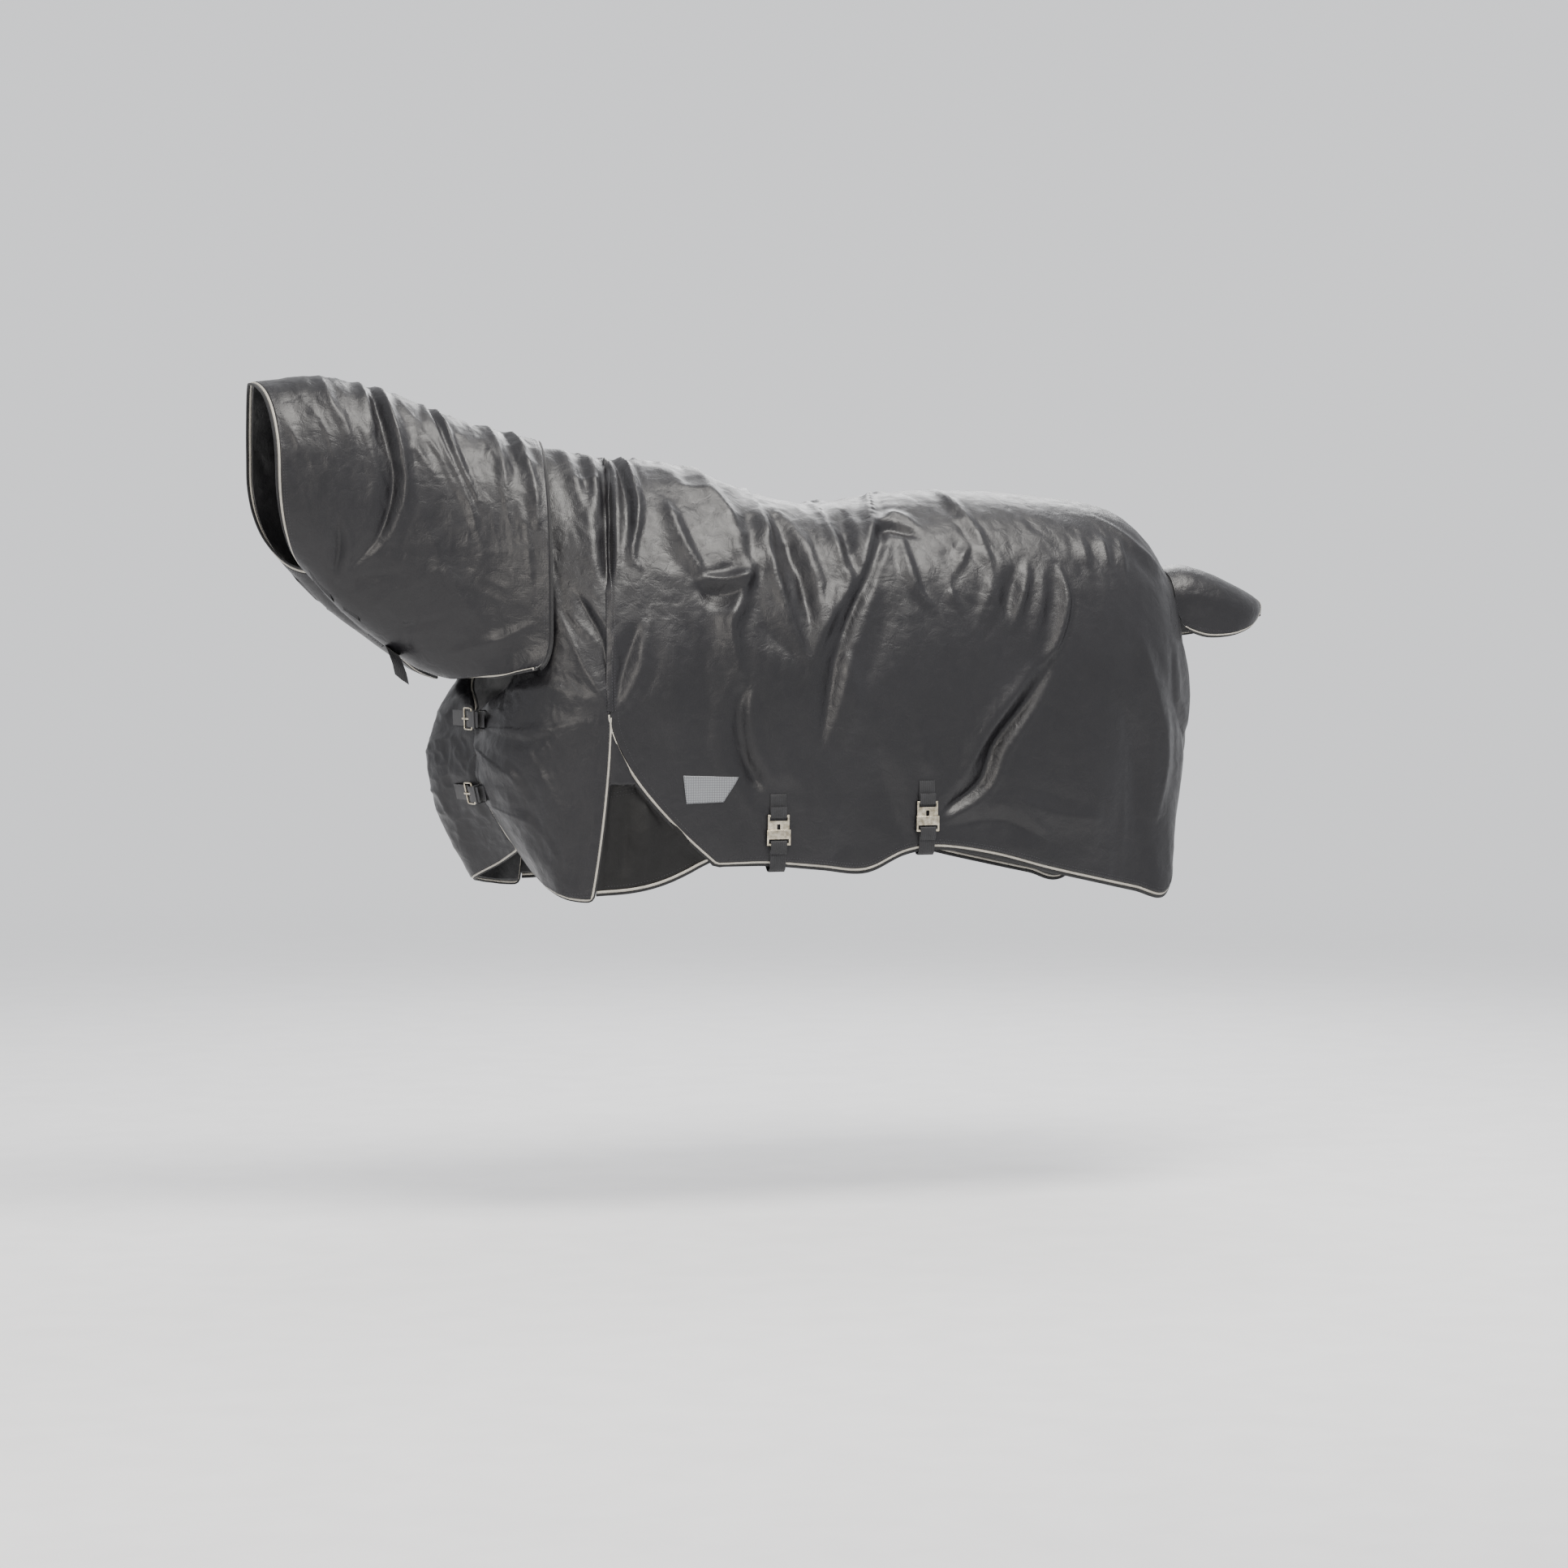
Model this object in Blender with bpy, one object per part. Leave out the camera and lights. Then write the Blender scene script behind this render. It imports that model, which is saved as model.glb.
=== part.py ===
"""Turnout rug with a neck cover, in the shape it takes on a cantering horse.

Metres, +Z up. The horse would face -X, so its left (near) side is -Y. The origin is the point of the
withers that carries the rug: the lining's inner face, on the centre plane.
Every fabric layer is lofted between two offsets of one base surface, which is that inner face.
"""

import math

import bmesh
import bpy
import numpy as np
from mathutils import Matrix, Vector
from mathutils.bvhtree import BVHTree

# Overall sizes. The rib tables below are shares of these.
BACK_LENGTH = 1.13  # origin to the rear edge under the tail
HALF_BARREL = 0.31  # centre plane to the widest place of the barrel
SIDE_DROP = 0.885  # origin down to the lowest corner of the hem
NECK_LENGTH = 0.86  # origin forward to the crest's front end
HALF_NECK = 0.205  # centre plane to the widest place of the neck cover
CHEST_LEAD = 0.050  # how far the leading right shoulder pushes its chest panel forward
TAIL_FLAP_LENGTH = 0.235
HALF_TAIL_FLAP = 0.100

# Fabric layers, from the horse outwards.
LINING = 0.0015
WADDING = 0.0040
OUTER_CLOTH = 0.0015
PLY_GAP = 0.0005
TOUCH_GAP = 0.0004
SEAM_GAP = 0.0007
PIPING_GAP = 0.0007
PIPING_RADIUS = 0.0030
LINING_TOP = LINING
WADDING_TOP = LINING_TOP + PLY_GAP + WADDING
CLOTH_TOP = WADDING_TOP + PLY_GAP + OUTER_CLOTH
THIN_CLOTH_TOP = LINING_TOP + PLY_GAP + OUTER_CLOTH  # where there is no wadding

# Webbing and hardware.
WEBBING = 0.0020
CHEST_STRAP_WIDTH = 0.032
SURCINGLE_WIDTH = 0.034
WIRE_RADIUS = 0.00225
BUCKLE_SPAN = 0.040  # between the axes of its two upright bars
BUCKLE_HEIGHT = 0.044  # between the axes of its top and bottom bars
PRONG_WIDTH = 0.0038
PRONG_THICKNESS = 0.0028
PLATE = 0.0025

# How a rib is drawn: a quarter of a superellipse from its top to its widest place, then down to the hem.
WIDEST_AT = 0.62
HEM_EASE = 1.6

# Body ribs from the seam behind the shoulder to the rear edge.
# Top (x, z), widest (x, y, z), hem (x, y, z) and roundness; x in shares of BACK_LENGTH, y of HALF_BARREL,
# z of SIDE_DROP.
BODY_RIBS = (
    ((-0.106, 0.012), (-0.181, 0.920, -0.565), (0.020, 0.920, -0.904), 1.75),
    ((-0.030, 0.006), (-0.090, 0.945, -0.555), (0.066, 0.942, -0.902), 1.85),
    ((0.071, -0.017), (0.027, 0.965, -0.555), (0.120, 0.952, -0.902), 2.0),
    ((0.168, -0.066), (0.150, 0.985, -0.555), (0.208, 0.968, -0.912), 2.1),
    ((0.265, -0.084), (0.265, 1.000, -0.565), (0.296, 0.974, -0.922), 2.15),
    ((0.381, -0.072), (0.381, 1.000, -0.565), (0.372, 0.984, -0.882), 2.2),
    ((0.496, -0.058), (0.496, 0.985, -0.555), (0.442, 0.984, -0.872), 2.25),
    ((0.611, -0.056), (0.611, 0.962, -0.530), (0.549, 0.968, -0.893), 2.3),
    ((0.726, -0.064), (0.726, 0.942, -0.520), (0.659, 0.952, -0.930), 2.3),
    ((0.814, -0.079), (0.823, 0.903, -0.520), (0.761, 0.929, -0.960), 2.3),
    ((0.885, -0.120), (0.912, 0.800, -0.540), (0.841, 0.890, -0.983), 2.3),
    ((0.938, -0.188), (0.970, 0.620, -0.560), (0.900, 0.830, -1.000), 2.3),
    ((0.968, -0.228), (0.995, 0.450, -0.575), (0.945, 0.640, -0.905), 2.25),
    ((0.982, -0.243), (1.004, 0.322, -0.588), (0.973, 0.420, -0.836), 2.2),
)

# Front panel ribs from the centre front to the seam behind the shoulder; their tops lie on the neck opening.
# Top, widest and hem (x, y, z), roundness, and the share of CHEST_LEAD on the right side.
FRONT_RIBS = (
    ((-0.348, 0.028, -0.572), (-0.347, 0.028, -0.712), (-0.277, 0.028, -0.885), 2.0, 0.0),
    ((-0.338, 0.177, -0.545), (-0.362, 0.274, -0.690), (-0.276, 0.258, -0.915), 1.6, 0.30),
    ((-0.318, 0.371, -0.508), (-0.350, 0.532, -0.678), (-0.268, 0.516, -0.949), 1.4, 1.0),
    ((-0.300, 0.474, -0.420), (-0.308, 0.726, -0.655), (-0.257, 0.680, -0.965), 1.15, 0.6),
    ((-0.284, 0.460, -0.265), (-0.272, 0.820, -0.620), (-0.243, 0.745, -0.974), 1.12, 0.25),
    ((-0.278, 0.330, -0.075), (-0.242, 0.860, -0.600), (-0.232, 0.790, -0.978), 1.2, 0.1),
    ((-0.274, 0.000, 0.040), (-0.216, 0.885, -0.585), (-0.221, 0.820, -0.980), 1.4, 0.03),
    ((-0.106, 0.000, 0.012), (-0.181, 0.920, -0.565), (-0.209, 0.845, -0.981), 1.75, 0.0),
)

# Neck ribs from its front edge back: crest (x, z), widest (x, y, z), throat edge (x, y, z);
# x in shares of NECK_LENGTH, y of HALF_NECK, z of SIDE_DROP.
NECK_RIBS = (
    ((-1.000, 0.180), (-0.972, 0.620, -0.011), (-0.850, 0.044, -0.241)),
    ((-0.866, 0.191), (-0.878, 0.630, -0.034), (-0.762, 0.044, -0.337)),
    ((-0.762, 0.177), (-0.791, 0.644, -0.068), (-0.698, 0.044, -0.390)),
    ((-0.651, 0.150), (-0.698, 0.680, -0.113), (-0.634, 0.070, -0.438)),
    ((-0.530, 0.108), (-0.581, 0.760, -0.190), (-0.566, 0.340, -0.470)),
    ((-0.427, 0.080), (-0.458, 0.920, -0.290), (-0.484, 0.820, -0.476)),
    ((-0.317, 0.056), (-0.360, 1.110, -0.375), (-0.402, 1.200, -0.462)),
)
NECK_WIDEST_AT = 0.50
NECK_ROUNDNESS = 2.1

# Tail flap ribs from its root to its rounded end: top (x, z), widest (x, y, z), edge (x, y, z);
# x in shares of TAIL_FLAP_LENGTH behind the root, y of HALF_TAIL_FLAP, z in metres from the root.
FLAP_RIBS = (
    ((0.00, 0.000), (0.02, 0.86, -0.070), (0.10, 0.94, -0.118)),
    ((0.18, 0.008), (0.18, 0.94, -0.068), (0.18, 1.00, -0.128)),
    ((0.45, -0.006), (0.43, 1.00, -0.078), (0.34, 1.06, -0.138)),
    ((0.72, -0.032), (0.70, 0.94, -0.094), (0.59, 1.00, -0.135)),
    ((0.90, -0.052), (0.87, 0.72, -0.094), (0.80, 0.78, -0.120)),
    ((1.00, -0.066), (0.98, 0.38, -0.082), (0.96, 0.46, -0.094)),
)
FLAP_ROUNDNESS = 2.2

# Grid lines along and round each sheet.
DOWN = (0.0, 0.155, 0.31, 0.465, 0.62, 0.70, 0.80, 0.90, 1.0)
NECK_DOWN = (0.0, 0.14, 0.28, 0.42, 0.56, 0.70, 0.85, 1.0)
FLAP_DOWN = (0.0, 0.2, 0.41, 0.62, 0.81, 1.0)
HALF_GRID_ROWS = 9  # grids with more rows than this cover both sides
APEX_ROW = 4  # the row of DOWN at the gusset's apex
BODY_COLUMNS = 17
FRONT_PLACES = (0.0, 0.6, 1.2, 1.9, 2.6, 3.4, 4.2, 5.0, 5.6, 6.0, 6.5, 7.0)  # in ribs
CREST_COLUMN = 9  # front panel columns from here on meet on the withers
NECK_COLUMNS = 12
FLAP_COLUMNS = 7
GUSSET_BULGE = 0.010
GUSSET_SAG = 0.016
GUSSET_END = 0.86  # how far it goes towards the piped corners, from the row above

# Chest closures.
CLOSURE_AT = {"upper": 0.12, "lower": 0.69}  # share of the way down the centre front
CLOSURE_LEFT = -0.090  # where the chape is sewn on
CLOSURE_RIGHT = 0.080  # where the billet is sewn on
BILLET_TIP = -0.080
BUCKLE_CENTRE = -0.012
KEEPER_AT = -0.062
KEEPER_WIDTH = 0.009
PRONG_EYE = 0.0042
HOLE_HALF_WIDTH = 0.0032
BAR_CLEARANCE = 0.004  # where a strap leaves the cloth beside a bar
CHAPE_RETURN = 0.016
BUCKLE_BEND = 0.004
PRONG_OVERHANG = 0.002
PRONG_TAPER = 0.006
# Shares of the buckle's span, and of the billet's climb there.
BILLET_RISE = ((0.10, 0.0), (0.30, 0.12), (0.50, 0.42), (0.70, 0.76), (0.88, 0.97))
KEEPER_STEP = 0.004
CAST_BACK = 0.05

# Belly straps: each hooks to a plate on the left side and is sewn to the right side at the other's place.
HOOK_X = {"front": 0.145, "rear": 0.466}
HOOK_Z = {"front": -0.722, "rear": -0.700}
ANCHOR_Z = {"front": -0.690, "rear": -0.665}
BELLY_LEVEL = {"front": -0.748, "rear": -0.770}
BELLY_HALF = 0.215
TAB_TOP = 0.060
TAB_BACK = 0.020
TAB_END = 0.034
TAB_BEND = ((0.003, 0.0), (0.0008, 0.0003), (0.0, 0.0012))  # up from the turn, and off its face
STRAP_BEND = ((0.003, 0.0), (0.0008, 0.0004), (0.0, 0.0014))
STRAP_LOWS = (-0.056, -0.066)
STRAP_END = -0.062
STRAP_FOLD = -0.050
STRAP_BACK = -0.046
STRAP_RISE = 0.030
BELLY_LEAD = 0.020
SLIDE_AT = 0.28
PLATE_TOP, PLATE_FOOT, PLATE_WIDTH = 0.018, -0.026, 0.046
TAB_SLOT = (0.0060, 0.0135)
PLATE_SLOT_WIDTH = 0.038
T_SLOT = (-0.0220, -0.0010)
T_SLOT_WIDTH = 0.0070
POST_AT = -0.0185
POST_SIZE = 0.0050
T_HEAD = 0.0175
T_HEAD_THICKNESS = 0.0018
HOOK_TOP, HOOK_FOOT, HOOK_WIDTH = -0.012, -0.044, 0.050
STRAP_SLOT = (-0.0395, -0.0310)
HOOK_SLOT_WIDTH = 0.042
HOOK_PLAY = 0.0026
HARDWARE_LIFT = 0.0012
ANCHOR_SIZE = 0.060
ANCHOR_THICKNESS = 0.0015
HEM_DIP = 0.014
SLIDE_LENGTH = 0.014
SLIDE_WALL = 0.0025
SLIDE_PLAY = 0.0006
HEM_SEARCH, HEM_STEP = -0.95, 0.002

# Neck fittings and the reflective patch.
THROAT_STRAPS = (6 / 11, 1.36, 2.45)  # in ribs from the neck's front edge; the last one's end hangs loose
THROAT_SHARES = (0.80, 0.825, 0.85, 0.90, 0.95, 0.985)  # of the way down a rib, where they lie on the cloth
THROAT_STEP = 0.25  # half a strap's width, in ribs
THROAT_LEVELS = (0.0042, 0.0026, 0.0032)  # how far each strap's middle stands off the cloth
DANGLE = ((0.010, -0.050, -0.062), (0.006, -0.046, -0.040), (0.0, -0.034, -0.016))
TAB_CENTRE_Y = 0.026
TAB_HALF = 0.012
TAB_X = -0.293
PATCH_CORNERS = ((-0.055, -0.621), (0.064, -0.626), (0.032, -0.678), (-0.047, -0.680))
PATCH_THICKNESS = 0.0008

COLOURS = {
    "outer_cloth": ((0.030, 0.030, 0.036), 0.45, 0.0),
    "lining_cloth": ((0.020, 0.020, 0.024), 0.60, 0.0),
    "wadding_fill": ((0.80, 0.80, 0.78), 0.95, 0.0),
    "piping_cord": ((0.62, 0.60, 0.56), 0.50, 0.0),
    "binding": ((0.010, 0.010, 0.012), 0.70, 0.0),
    "webbing": ((0.018, 0.018, 0.020), 0.80, 0.0),
    "hardware": ((0.72, 0.68, 0.60), 0.28, 1.0),
    "reflector": ((0.42, 0.42, 0.42), 0.40, 0.0),
}
NECK_PARTS = ("neck_outer", "neck_wadding", "neck_lining", "neck_front", "neck_rear", "neck_lower", "throat")
BODY_SCALE = np.array([BACK_LENGTH, HALF_BARREL, SIDE_DROP])
NECK_SCALE = np.array([NECK_LENGTH, HALF_NECK, SIDE_DROP])
FLAP_SCALE = np.array([TAIL_FLAP_LENGTH, HALF_TAIL_FLAP, 1.0])
EDGE_OFFSET = PIPING_RADIUS + PIPING_GAP
STRAP_LEVEL = TOUCH_GAP + WEBBING / 2


def clear_scene():
    """Removes what the file opened with."""
    for old in list(bpy.data.objects):
        bpy.data.objects.remove(old, do_unlink=True)


def new_collection(name, shown=True):
    """A collection under the scene's own."""
    made = bpy.data.collections.new(name)
    bpy.context.scene.collection.children.link(made)
    made.hide_render = not shown
    return made


def new_material(name, colour, roughness, metallic):
    """A Principled material of one colour."""
    made = bpy.data.materials.new(name)
    made.use_nodes = True
    shader = made.node_tree.nodes["Principled BSDF"]
    shader.inputs["Base Color"].default_value = (*colour, 1.0)
    shader.inputs["Roughness"].default_value = roughness
    shader.inputs["Metallic"].default_value = metallic
    return made


def add_object(name, data, material, matrix=None, smooth=False):
    """Puts mesh or curve data in the rug's collection as one named part."""
    made = bpy.data.objects.new(name, data)
    RUG.objects.link(made)
    data.materials.append(MATERIALS[material])
    if matrix is not None:
        made.matrix_world = matrix
    if smooth:
        data.shade_smooth()
    return made


def unit(vector):
    """A vector, or each of an array of vectors, at length 1."""
    vector = np.asarray(vector, float)
    return vector / np.linalg.norm(vector, axis=-1, keepdims=True)


def spline_through(values, at):
    """The Catmull-Rom curve through a list of points, at a place counted in list steps."""
    values = np.asarray(values, float)
    low = max(0, min(int(at), len(values) - 2))
    share = at - low
    p1, p2 = values[low], values[low + 1]
    p0 = values[low - 1] if low > 0 else 2 * p1 - p2
    p3 = values[low + 2] if low + 2 < len(values) else 2 * p2 - p1
    square, cube = share**2, share**3
    return 0.5 * (
        2 * p1
        + (p2 - p0) * share
        + (2 * p0 - 5 * p1 + 4 * p2 - p3) * square
        + (3 * (p1 - p2) - p0 + p3) * cube
    )


def rib_at(ribs, along, scale):
    """Top, widest and low point of the rib at a place counted in ribs, in metres, and what follows them."""
    tops = [rib[0] if len(rib[0]) == 3 else (rib[0][0], 0.0, rib[0][1]) for rib in ribs]
    points = [spline_through(column, along) * scale for column in (tops, *zip(*[rib[1:3] for rib in ribs]))]
    rest = [float(spline_through([rib[k] for rib in ribs], along)) for k in range(3, len(ribs[0]))]
    return points, rest


def down_rib(top, wide, low, roundness, down, widest_at=WIDEST_AT):
    """The point a share of the way down a rib: round to its widest place, then easing out to its low end."""
    if down <= widest_at:
        angle = math.pi / 2 * down / widest_at
        across = math.sin(angle) ** (2 / roundness)
        return top + (wide - top) * np.array([across, across, 1 - math.cos(angle) ** (2 / roundness)])
    share = (down - widest_at) / (1 - widest_at)
    ease = share**HEM_EASE
    return wide + (low - wide) * np.array([ease, ease, share])


def mirrored(point, down):
    """A right-hand point put on the left where down is negative."""
    return point * np.array([1, math.copysign(1, down), 1])


def body_point(along, down):
    """Base surface of the body: along counts ribs from the seam, down goes from -1, left hem, to 1."""
    (top, wide, low), (roundness,) = rib_at(BODY_RIBS, along, BODY_SCALE)
    return mirrored(down_rib(top, wide, low, roundness, abs(down)), down)


def front_point(side, along, down):
    """Base surface of a front panel: side -1 left or 1 right, along counts ribs from the centre front."""
    (top, wide, low), (roundness, lead) = rib_at(FRONT_RIBS, along, BODY_SCALE)
    point = down_rib(top, wide, low, roundness, down)
    grown = math.sin(math.pi / 2 * min(1.0, down / WIDEST_AT + 0.25))
    forward = CHEST_LEAD * max(0.0, lead) * grown if side > 0 else 0.0
    return np.array([point[0] - forward, side * max(point[1], SEAM_GAP / 2), point[2]])


def neck_point(along, down):
    """Base surface of the neck cover: down is -1 at the left throat edge, 0 on the crest, 1 at the right."""
    (top, wide, low), _ = rib_at(NECK_RIBS, along, NECK_SCALE)
    share = abs(down)
    if share <= NECK_WIDEST_AT:
        point = down_rib(top, wide, low, NECK_ROUNDNESS, share, NECK_WIDEST_AT)
    else:
        angle = math.pi / 2 * (share - NECK_WIDEST_AT) / (1 - NECK_WIDEST_AT)
        across = 1 - math.cos(angle) ** (2 / NECK_ROUNDNESS)
        fall = math.sin(angle) ** (2 / NECK_ROUNDNESS)
        point = wide + (low - wide) * np.array([across, across, fall])
    return mirrored(point, down)


def flap_root():
    """The middle of the tail flap's root, just behind the binding on the body's rear edge."""
    top = body_point(len(BODY_RIBS) - 1, 0.0)
    return top + np.array([2 * EDGE_OFFSET + CLOTH_TOP - TOUCH_GAP, 0.0, CLOTH_TOP / 2])


def flap_point(along, down):
    """Base surface of the tail flap: down is -1 at the left edge, 0 on top, 1 at the right edge."""
    (top, wide, low), _ = rib_at(FLAP_RIBS, along, FLAP_SCALE)
    return flap_root() + mirrored(down_rib(top, wide, low, FLAP_ROUNDNESS, abs(down)), down)


def both_sides(shares):
    """Shares down a rib on the left side, the top, then the right side."""
    return [-share for share in reversed(shares[1:])] + list(shares)


def grid_of(surface, columns, rows):
    """Points of a surface as an array of columns by rows by 3."""
    return np.array([[surface(column, row) for row in rows] for column in columns])


def outward_normals(grid, centre_z):
    """Unit normals at a grid's points, away from the line y = 0 at a height."""
    normals = unit(np.cross(np.gradient(grid, axis=0), np.gradient(grid, axis=1)))
    away = grid - np.stack([grid[..., 0], 0 * grid[..., 1], 0 * grid[..., 2] + centre_z], axis=-1)
    return normals if np.sum(normals * away) > 0 else -normals


def grid_triangles(columns, rows, skip=()):
    """Corner indices of a grid's triangles; a grid of two like halves is cut along mirrored diagonals."""
    middle = (rows - 1) // 2 if rows > HALF_GRID_ROWS else 0
    cells = [(i, j) for i in range(columns - 1) for j in range(rows - 1) if (i, j) not in skip]
    for i, j in cells:
        first, second = i * rows + j, (i + 1) * rows + j
        if j < middle:
            yield (first, second, first + 1)
            yield (second, second + 1, first + 1)
        else:
            yield (first, second, second + 1)
            yield (first, second + 1, first + 1)


def slab(name, lower, upper, material, skip=()):
    """A closed sheet lofted between two grids; skip lists the cells left out as holes."""
    columns, rows = upper.shape[:2]
    mesh = bmesh.new()
    above = [mesh.verts.new(point) for point in upper.reshape(-1, 3)]
    below = [mesh.verts.new(point) for point in lower.reshape(-1, 3)]
    edges = {}
    for a, b, c in grid_triangles(columns, rows, skip):
        mesh.faces.new((above[a], above[b], above[c]))
        mesh.faces.new((below[c], below[b], below[a]))
        for start, end in ((a, b), (b, c), (c, a)):
            if (end, start) in edges:
                del edges[(end, start)]
            else:
                edges[(start, end)] = True
    for start, end in edges:
        mesh.faces.new((above[end], above[start], below[start]))
        mesh.faces.new((above[end], below[start], below[end]))
    loose = [vert for vert in mesh.verts if not vert.link_faces]
    bmesh.ops.delete(mesh, geom=loose, context="VERTS")
    mesh.normal_update()
    if mesh.calc_volume(signed=True) < 0:
        bmesh.ops.reverse_faces(mesh, faces=mesh.faces[:])
    data = bpy.data.meshes.new(name)
    mesh.to_mesh(data)
    mesh.free()
    return add_object(name, data, material)


def layer(name, grid, normals, low, high, material):
    """A cloth layer between two offsets above a base grid."""
    return slab(name, grid + normals * low, grid + normals * high, material)


def surface_tree(*grids):
    """A tree of the triangles of grids, to cast rays at."""
    points, faces = [], []
    for grid in grids:
        start = len(points)
        points += [Vector(point) for point in grid.reshape(-1, 3)]
        faces += [[start + k for k in face] for face in grid_triangles(*grid.shape[:2])]
    return BVHTree.FromPolygons(points, faces)


def cast(tree, start, direction):
    """Where a ray from a point first meets a tree, as an array."""
    hit = tree.ray_cast(Vector(start), Vector(direction))[0]
    if hit is None:
        raise ValueError(f"nothing in the way of {tuple(start)} along {tuple(direction)}")
    return np.array(hit)


def cord(name, points, radius, material, sides=1, closed=False):
    """A round cord or wire along points, with filled ends."""
    data = bpy.data.curves.new(name, "CURVE")
    data.dimensions = "3D"
    data.bevel_depth = radius
    data.bevel_resolution = sides
    data.use_fill_caps = not closed
    data.resolution_u = 1
    data.render_resolution_u = 0
    spline = data.splines.new("POLY")
    spline.points.add(len(points) - 1)
    for place, point in zip(spline.points, points):
        place.co = (*point, 1.0)
    spline.use_cyclic_u = closed
    spline.use_smooth = True
    return add_object(name, data, material)


def ribbon_grid(points, normals, widths):
    """A grid over webbing: each point of its middle line spread to a list of places across it."""
    points, normals = np.asarray(points, float), np.asarray(normals, float)
    tangents = unit(np.gradient(points, axis=0))
    sides = unit(np.cross(tangents, normals))
    faces = np.cross(sides, tangents)
    grid = np.stack([points + sides * width for width in widths], axis=1)
    return grid, np.stack([faces] * len(widths), axis=1)


def ribbon(name, points, normals, width, material, skip=(), hole=None):
    """Flat webbing whose middle line runs along points; normals point out of its face."""
    half = width / 2
    widths = [-half, half] if hole is None else [-half, -hole, hole, half]
    grid, faces = ribbon_grid(points, normals, widths)
    return slab(name, grid - faces * WEBBING / 2, grid + faces * WEBBING / 2, material, skip)


def flat_shape(name, outlines, thickness, material, matrix):
    """A plate from closed outlines in its own XY plane, the first its rim and the rest its holes."""
    data = bpy.data.curves.new(name, "CURVE")
    data.dimensions = "2D"
    data.fill_mode = "BOTH"
    data.extrude = thickness / 2
    for outline in outlines:
        spline = data.splines.new("POLY")
        spline.points.add(len(outline) - 1)
        for place, (u, v) in zip(spline.points, outline):
            place.co = (u, v, 0.0, 1.0)
        spline.use_cyclic_u = True
    return add_object(name, data, material, matrix)


def to_mesh_object(made):
    """Turns a curve object into a closed mesh object of the same name, which a Boolean can then work on."""
    name, matrix = made.name, made.matrix_world.copy()
    material = made.data.materials[0].name
    data = bpy.data.meshes.new_from_object(made.evaluated_get(bpy.context.evaluated_depsgraph_get()))
    bpy.data.objects.remove(made, do_unlink=True)
    mesh = bmesh.new()
    mesh.from_mesh(data)
    bmesh.ops.remove_doubles(mesh, verts=mesh.verts[:], dist=1e-6)
    mesh.to_mesh(data)
    mesh.free()
    data.materials.clear()
    return add_object(name, data, material, matrix)


def box_tool(name, size, matrix):
    """A box in the tools' collection, for a Boolean."""
    mesh = bmesh.new()
    bmesh.ops.create_cube(mesh, size=1.0, matrix=Matrix.Diagonal((*size, 1.0)))
    data = bpy.data.meshes.new(name)
    mesh.to_mesh(data)
    mesh.free()
    made = bpy.data.objects.new(name, data)
    CUTTERS.objects.link(made)
    made.matrix_world = matrix
    made.hide_render = True
    made.display_type = "WIRE"
    return made


def join_to(made, tool):
    """Joins a tool's solid to a part."""
    change = made.modifiers.new(tool.name, "BOOLEAN")
    change.operation = "UNION"
    change.solver = "EXACT"
    change.object = tool


def frame_matrix(origin, x, y):
    """The matrix with local X along x, local Y towards y, and its origin where given."""
    first = Vector(x).normalized()
    third = first.cross(Vector(y)).normalized()
    matrix = Matrix((first, third.cross(first), third)).transposed().to_4x4()
    matrix.translation = Vector(origin)
    return matrix


def rectangle(width, height, u=0.0, v=0.0):
    """Corners of a rectangle round a point, anticlockwise."""
    corners = ((-1, -1), (1, -1), (1, 1), (-1, 1))
    return [(u + i * width / 2, v + j * height / 2) for i, j in corners]


def arc(radius, count, start, end, centre=(0.0, 0.0)):
    """Points along an arc, its angles in radians."""
    angles = [start + (end - start) * i / (count - 1) for i in range(count)]
    return [(centre[0] + radius * math.cos(a), centre[1] + radius * math.sin(a)) for a in angles]


def edge_line(grid, normals, places, offset, lift):
    """A line beside a sheet's edge. places lists (column, row, inner column, inner row) along the edge."""
    edge = np.array([grid[i, j] for i, j, _, _ in places])
    inner = np.array([grid[i, j] for _, _, i, j in places])
    normal = np.array([normals[i, j] for i, j, _, _ in places])
    steps = unit(np.diff(edge, axis=0))
    before = np.vstack([steps[:1], steps])
    after = np.vstack([steps, steps[-1:]])
    tangents = unit(before + after)
    out = edge - inner
    out -= tangents * np.sum(out * tangents, axis=1, keepdims=True)
    out -= normal * np.sum(out * normal, axis=1, keepdims=True)
    out = unit(out)
    reach = np.minimum(
        np.linalg.norm(np.cross(out, before), axis=1), np.linalg.norm(np.cross(out, after), axis=1)
    )
    return edge + out * (offset / reach)[:, None] + normal * lift


def row_places(columns, row, inner_row):
    """Places along a row of a sheet."""
    return [(i, row, i, inner_row) for i in columns]


def column_places(column, inner_column, rows):
    """Places along a column of a sheet."""
    return [(column, j, inner_column, j) for j in rows]


def body_grid():
    """Base grid and normals of the body."""
    grid = grid_of(body_point, np.linspace(0, len(BODY_RIBS) - 1, BODY_COLUMNS), both_sides(DOWN))
    grid[0, :, 0] += SEAM_GAP / 2
    return grid, outward_normals(grid, -SIDE_DROP / 2)


def front_grid(side):
    """Base grid and normals of one front panel."""
    grid = grid_of(lambda column, row: front_point(side, column, row), FRONT_PLACES, DOWN)
    grid[-1, :, 0] -= SEAM_GAP / 2
    normals = outward_normals(grid, -SIDE_DROP / 2)
    normals[CREST_COLUMN:, 0, 1] = 0.0
    return grid, unit(normals)


def body_rows(side):
    """The body's rows from the back down to one hem, in the order of DOWN."""
    middle = len(DOWN) - 1
    return [middle + side * k for k in range(len(DOWN))]


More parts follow.
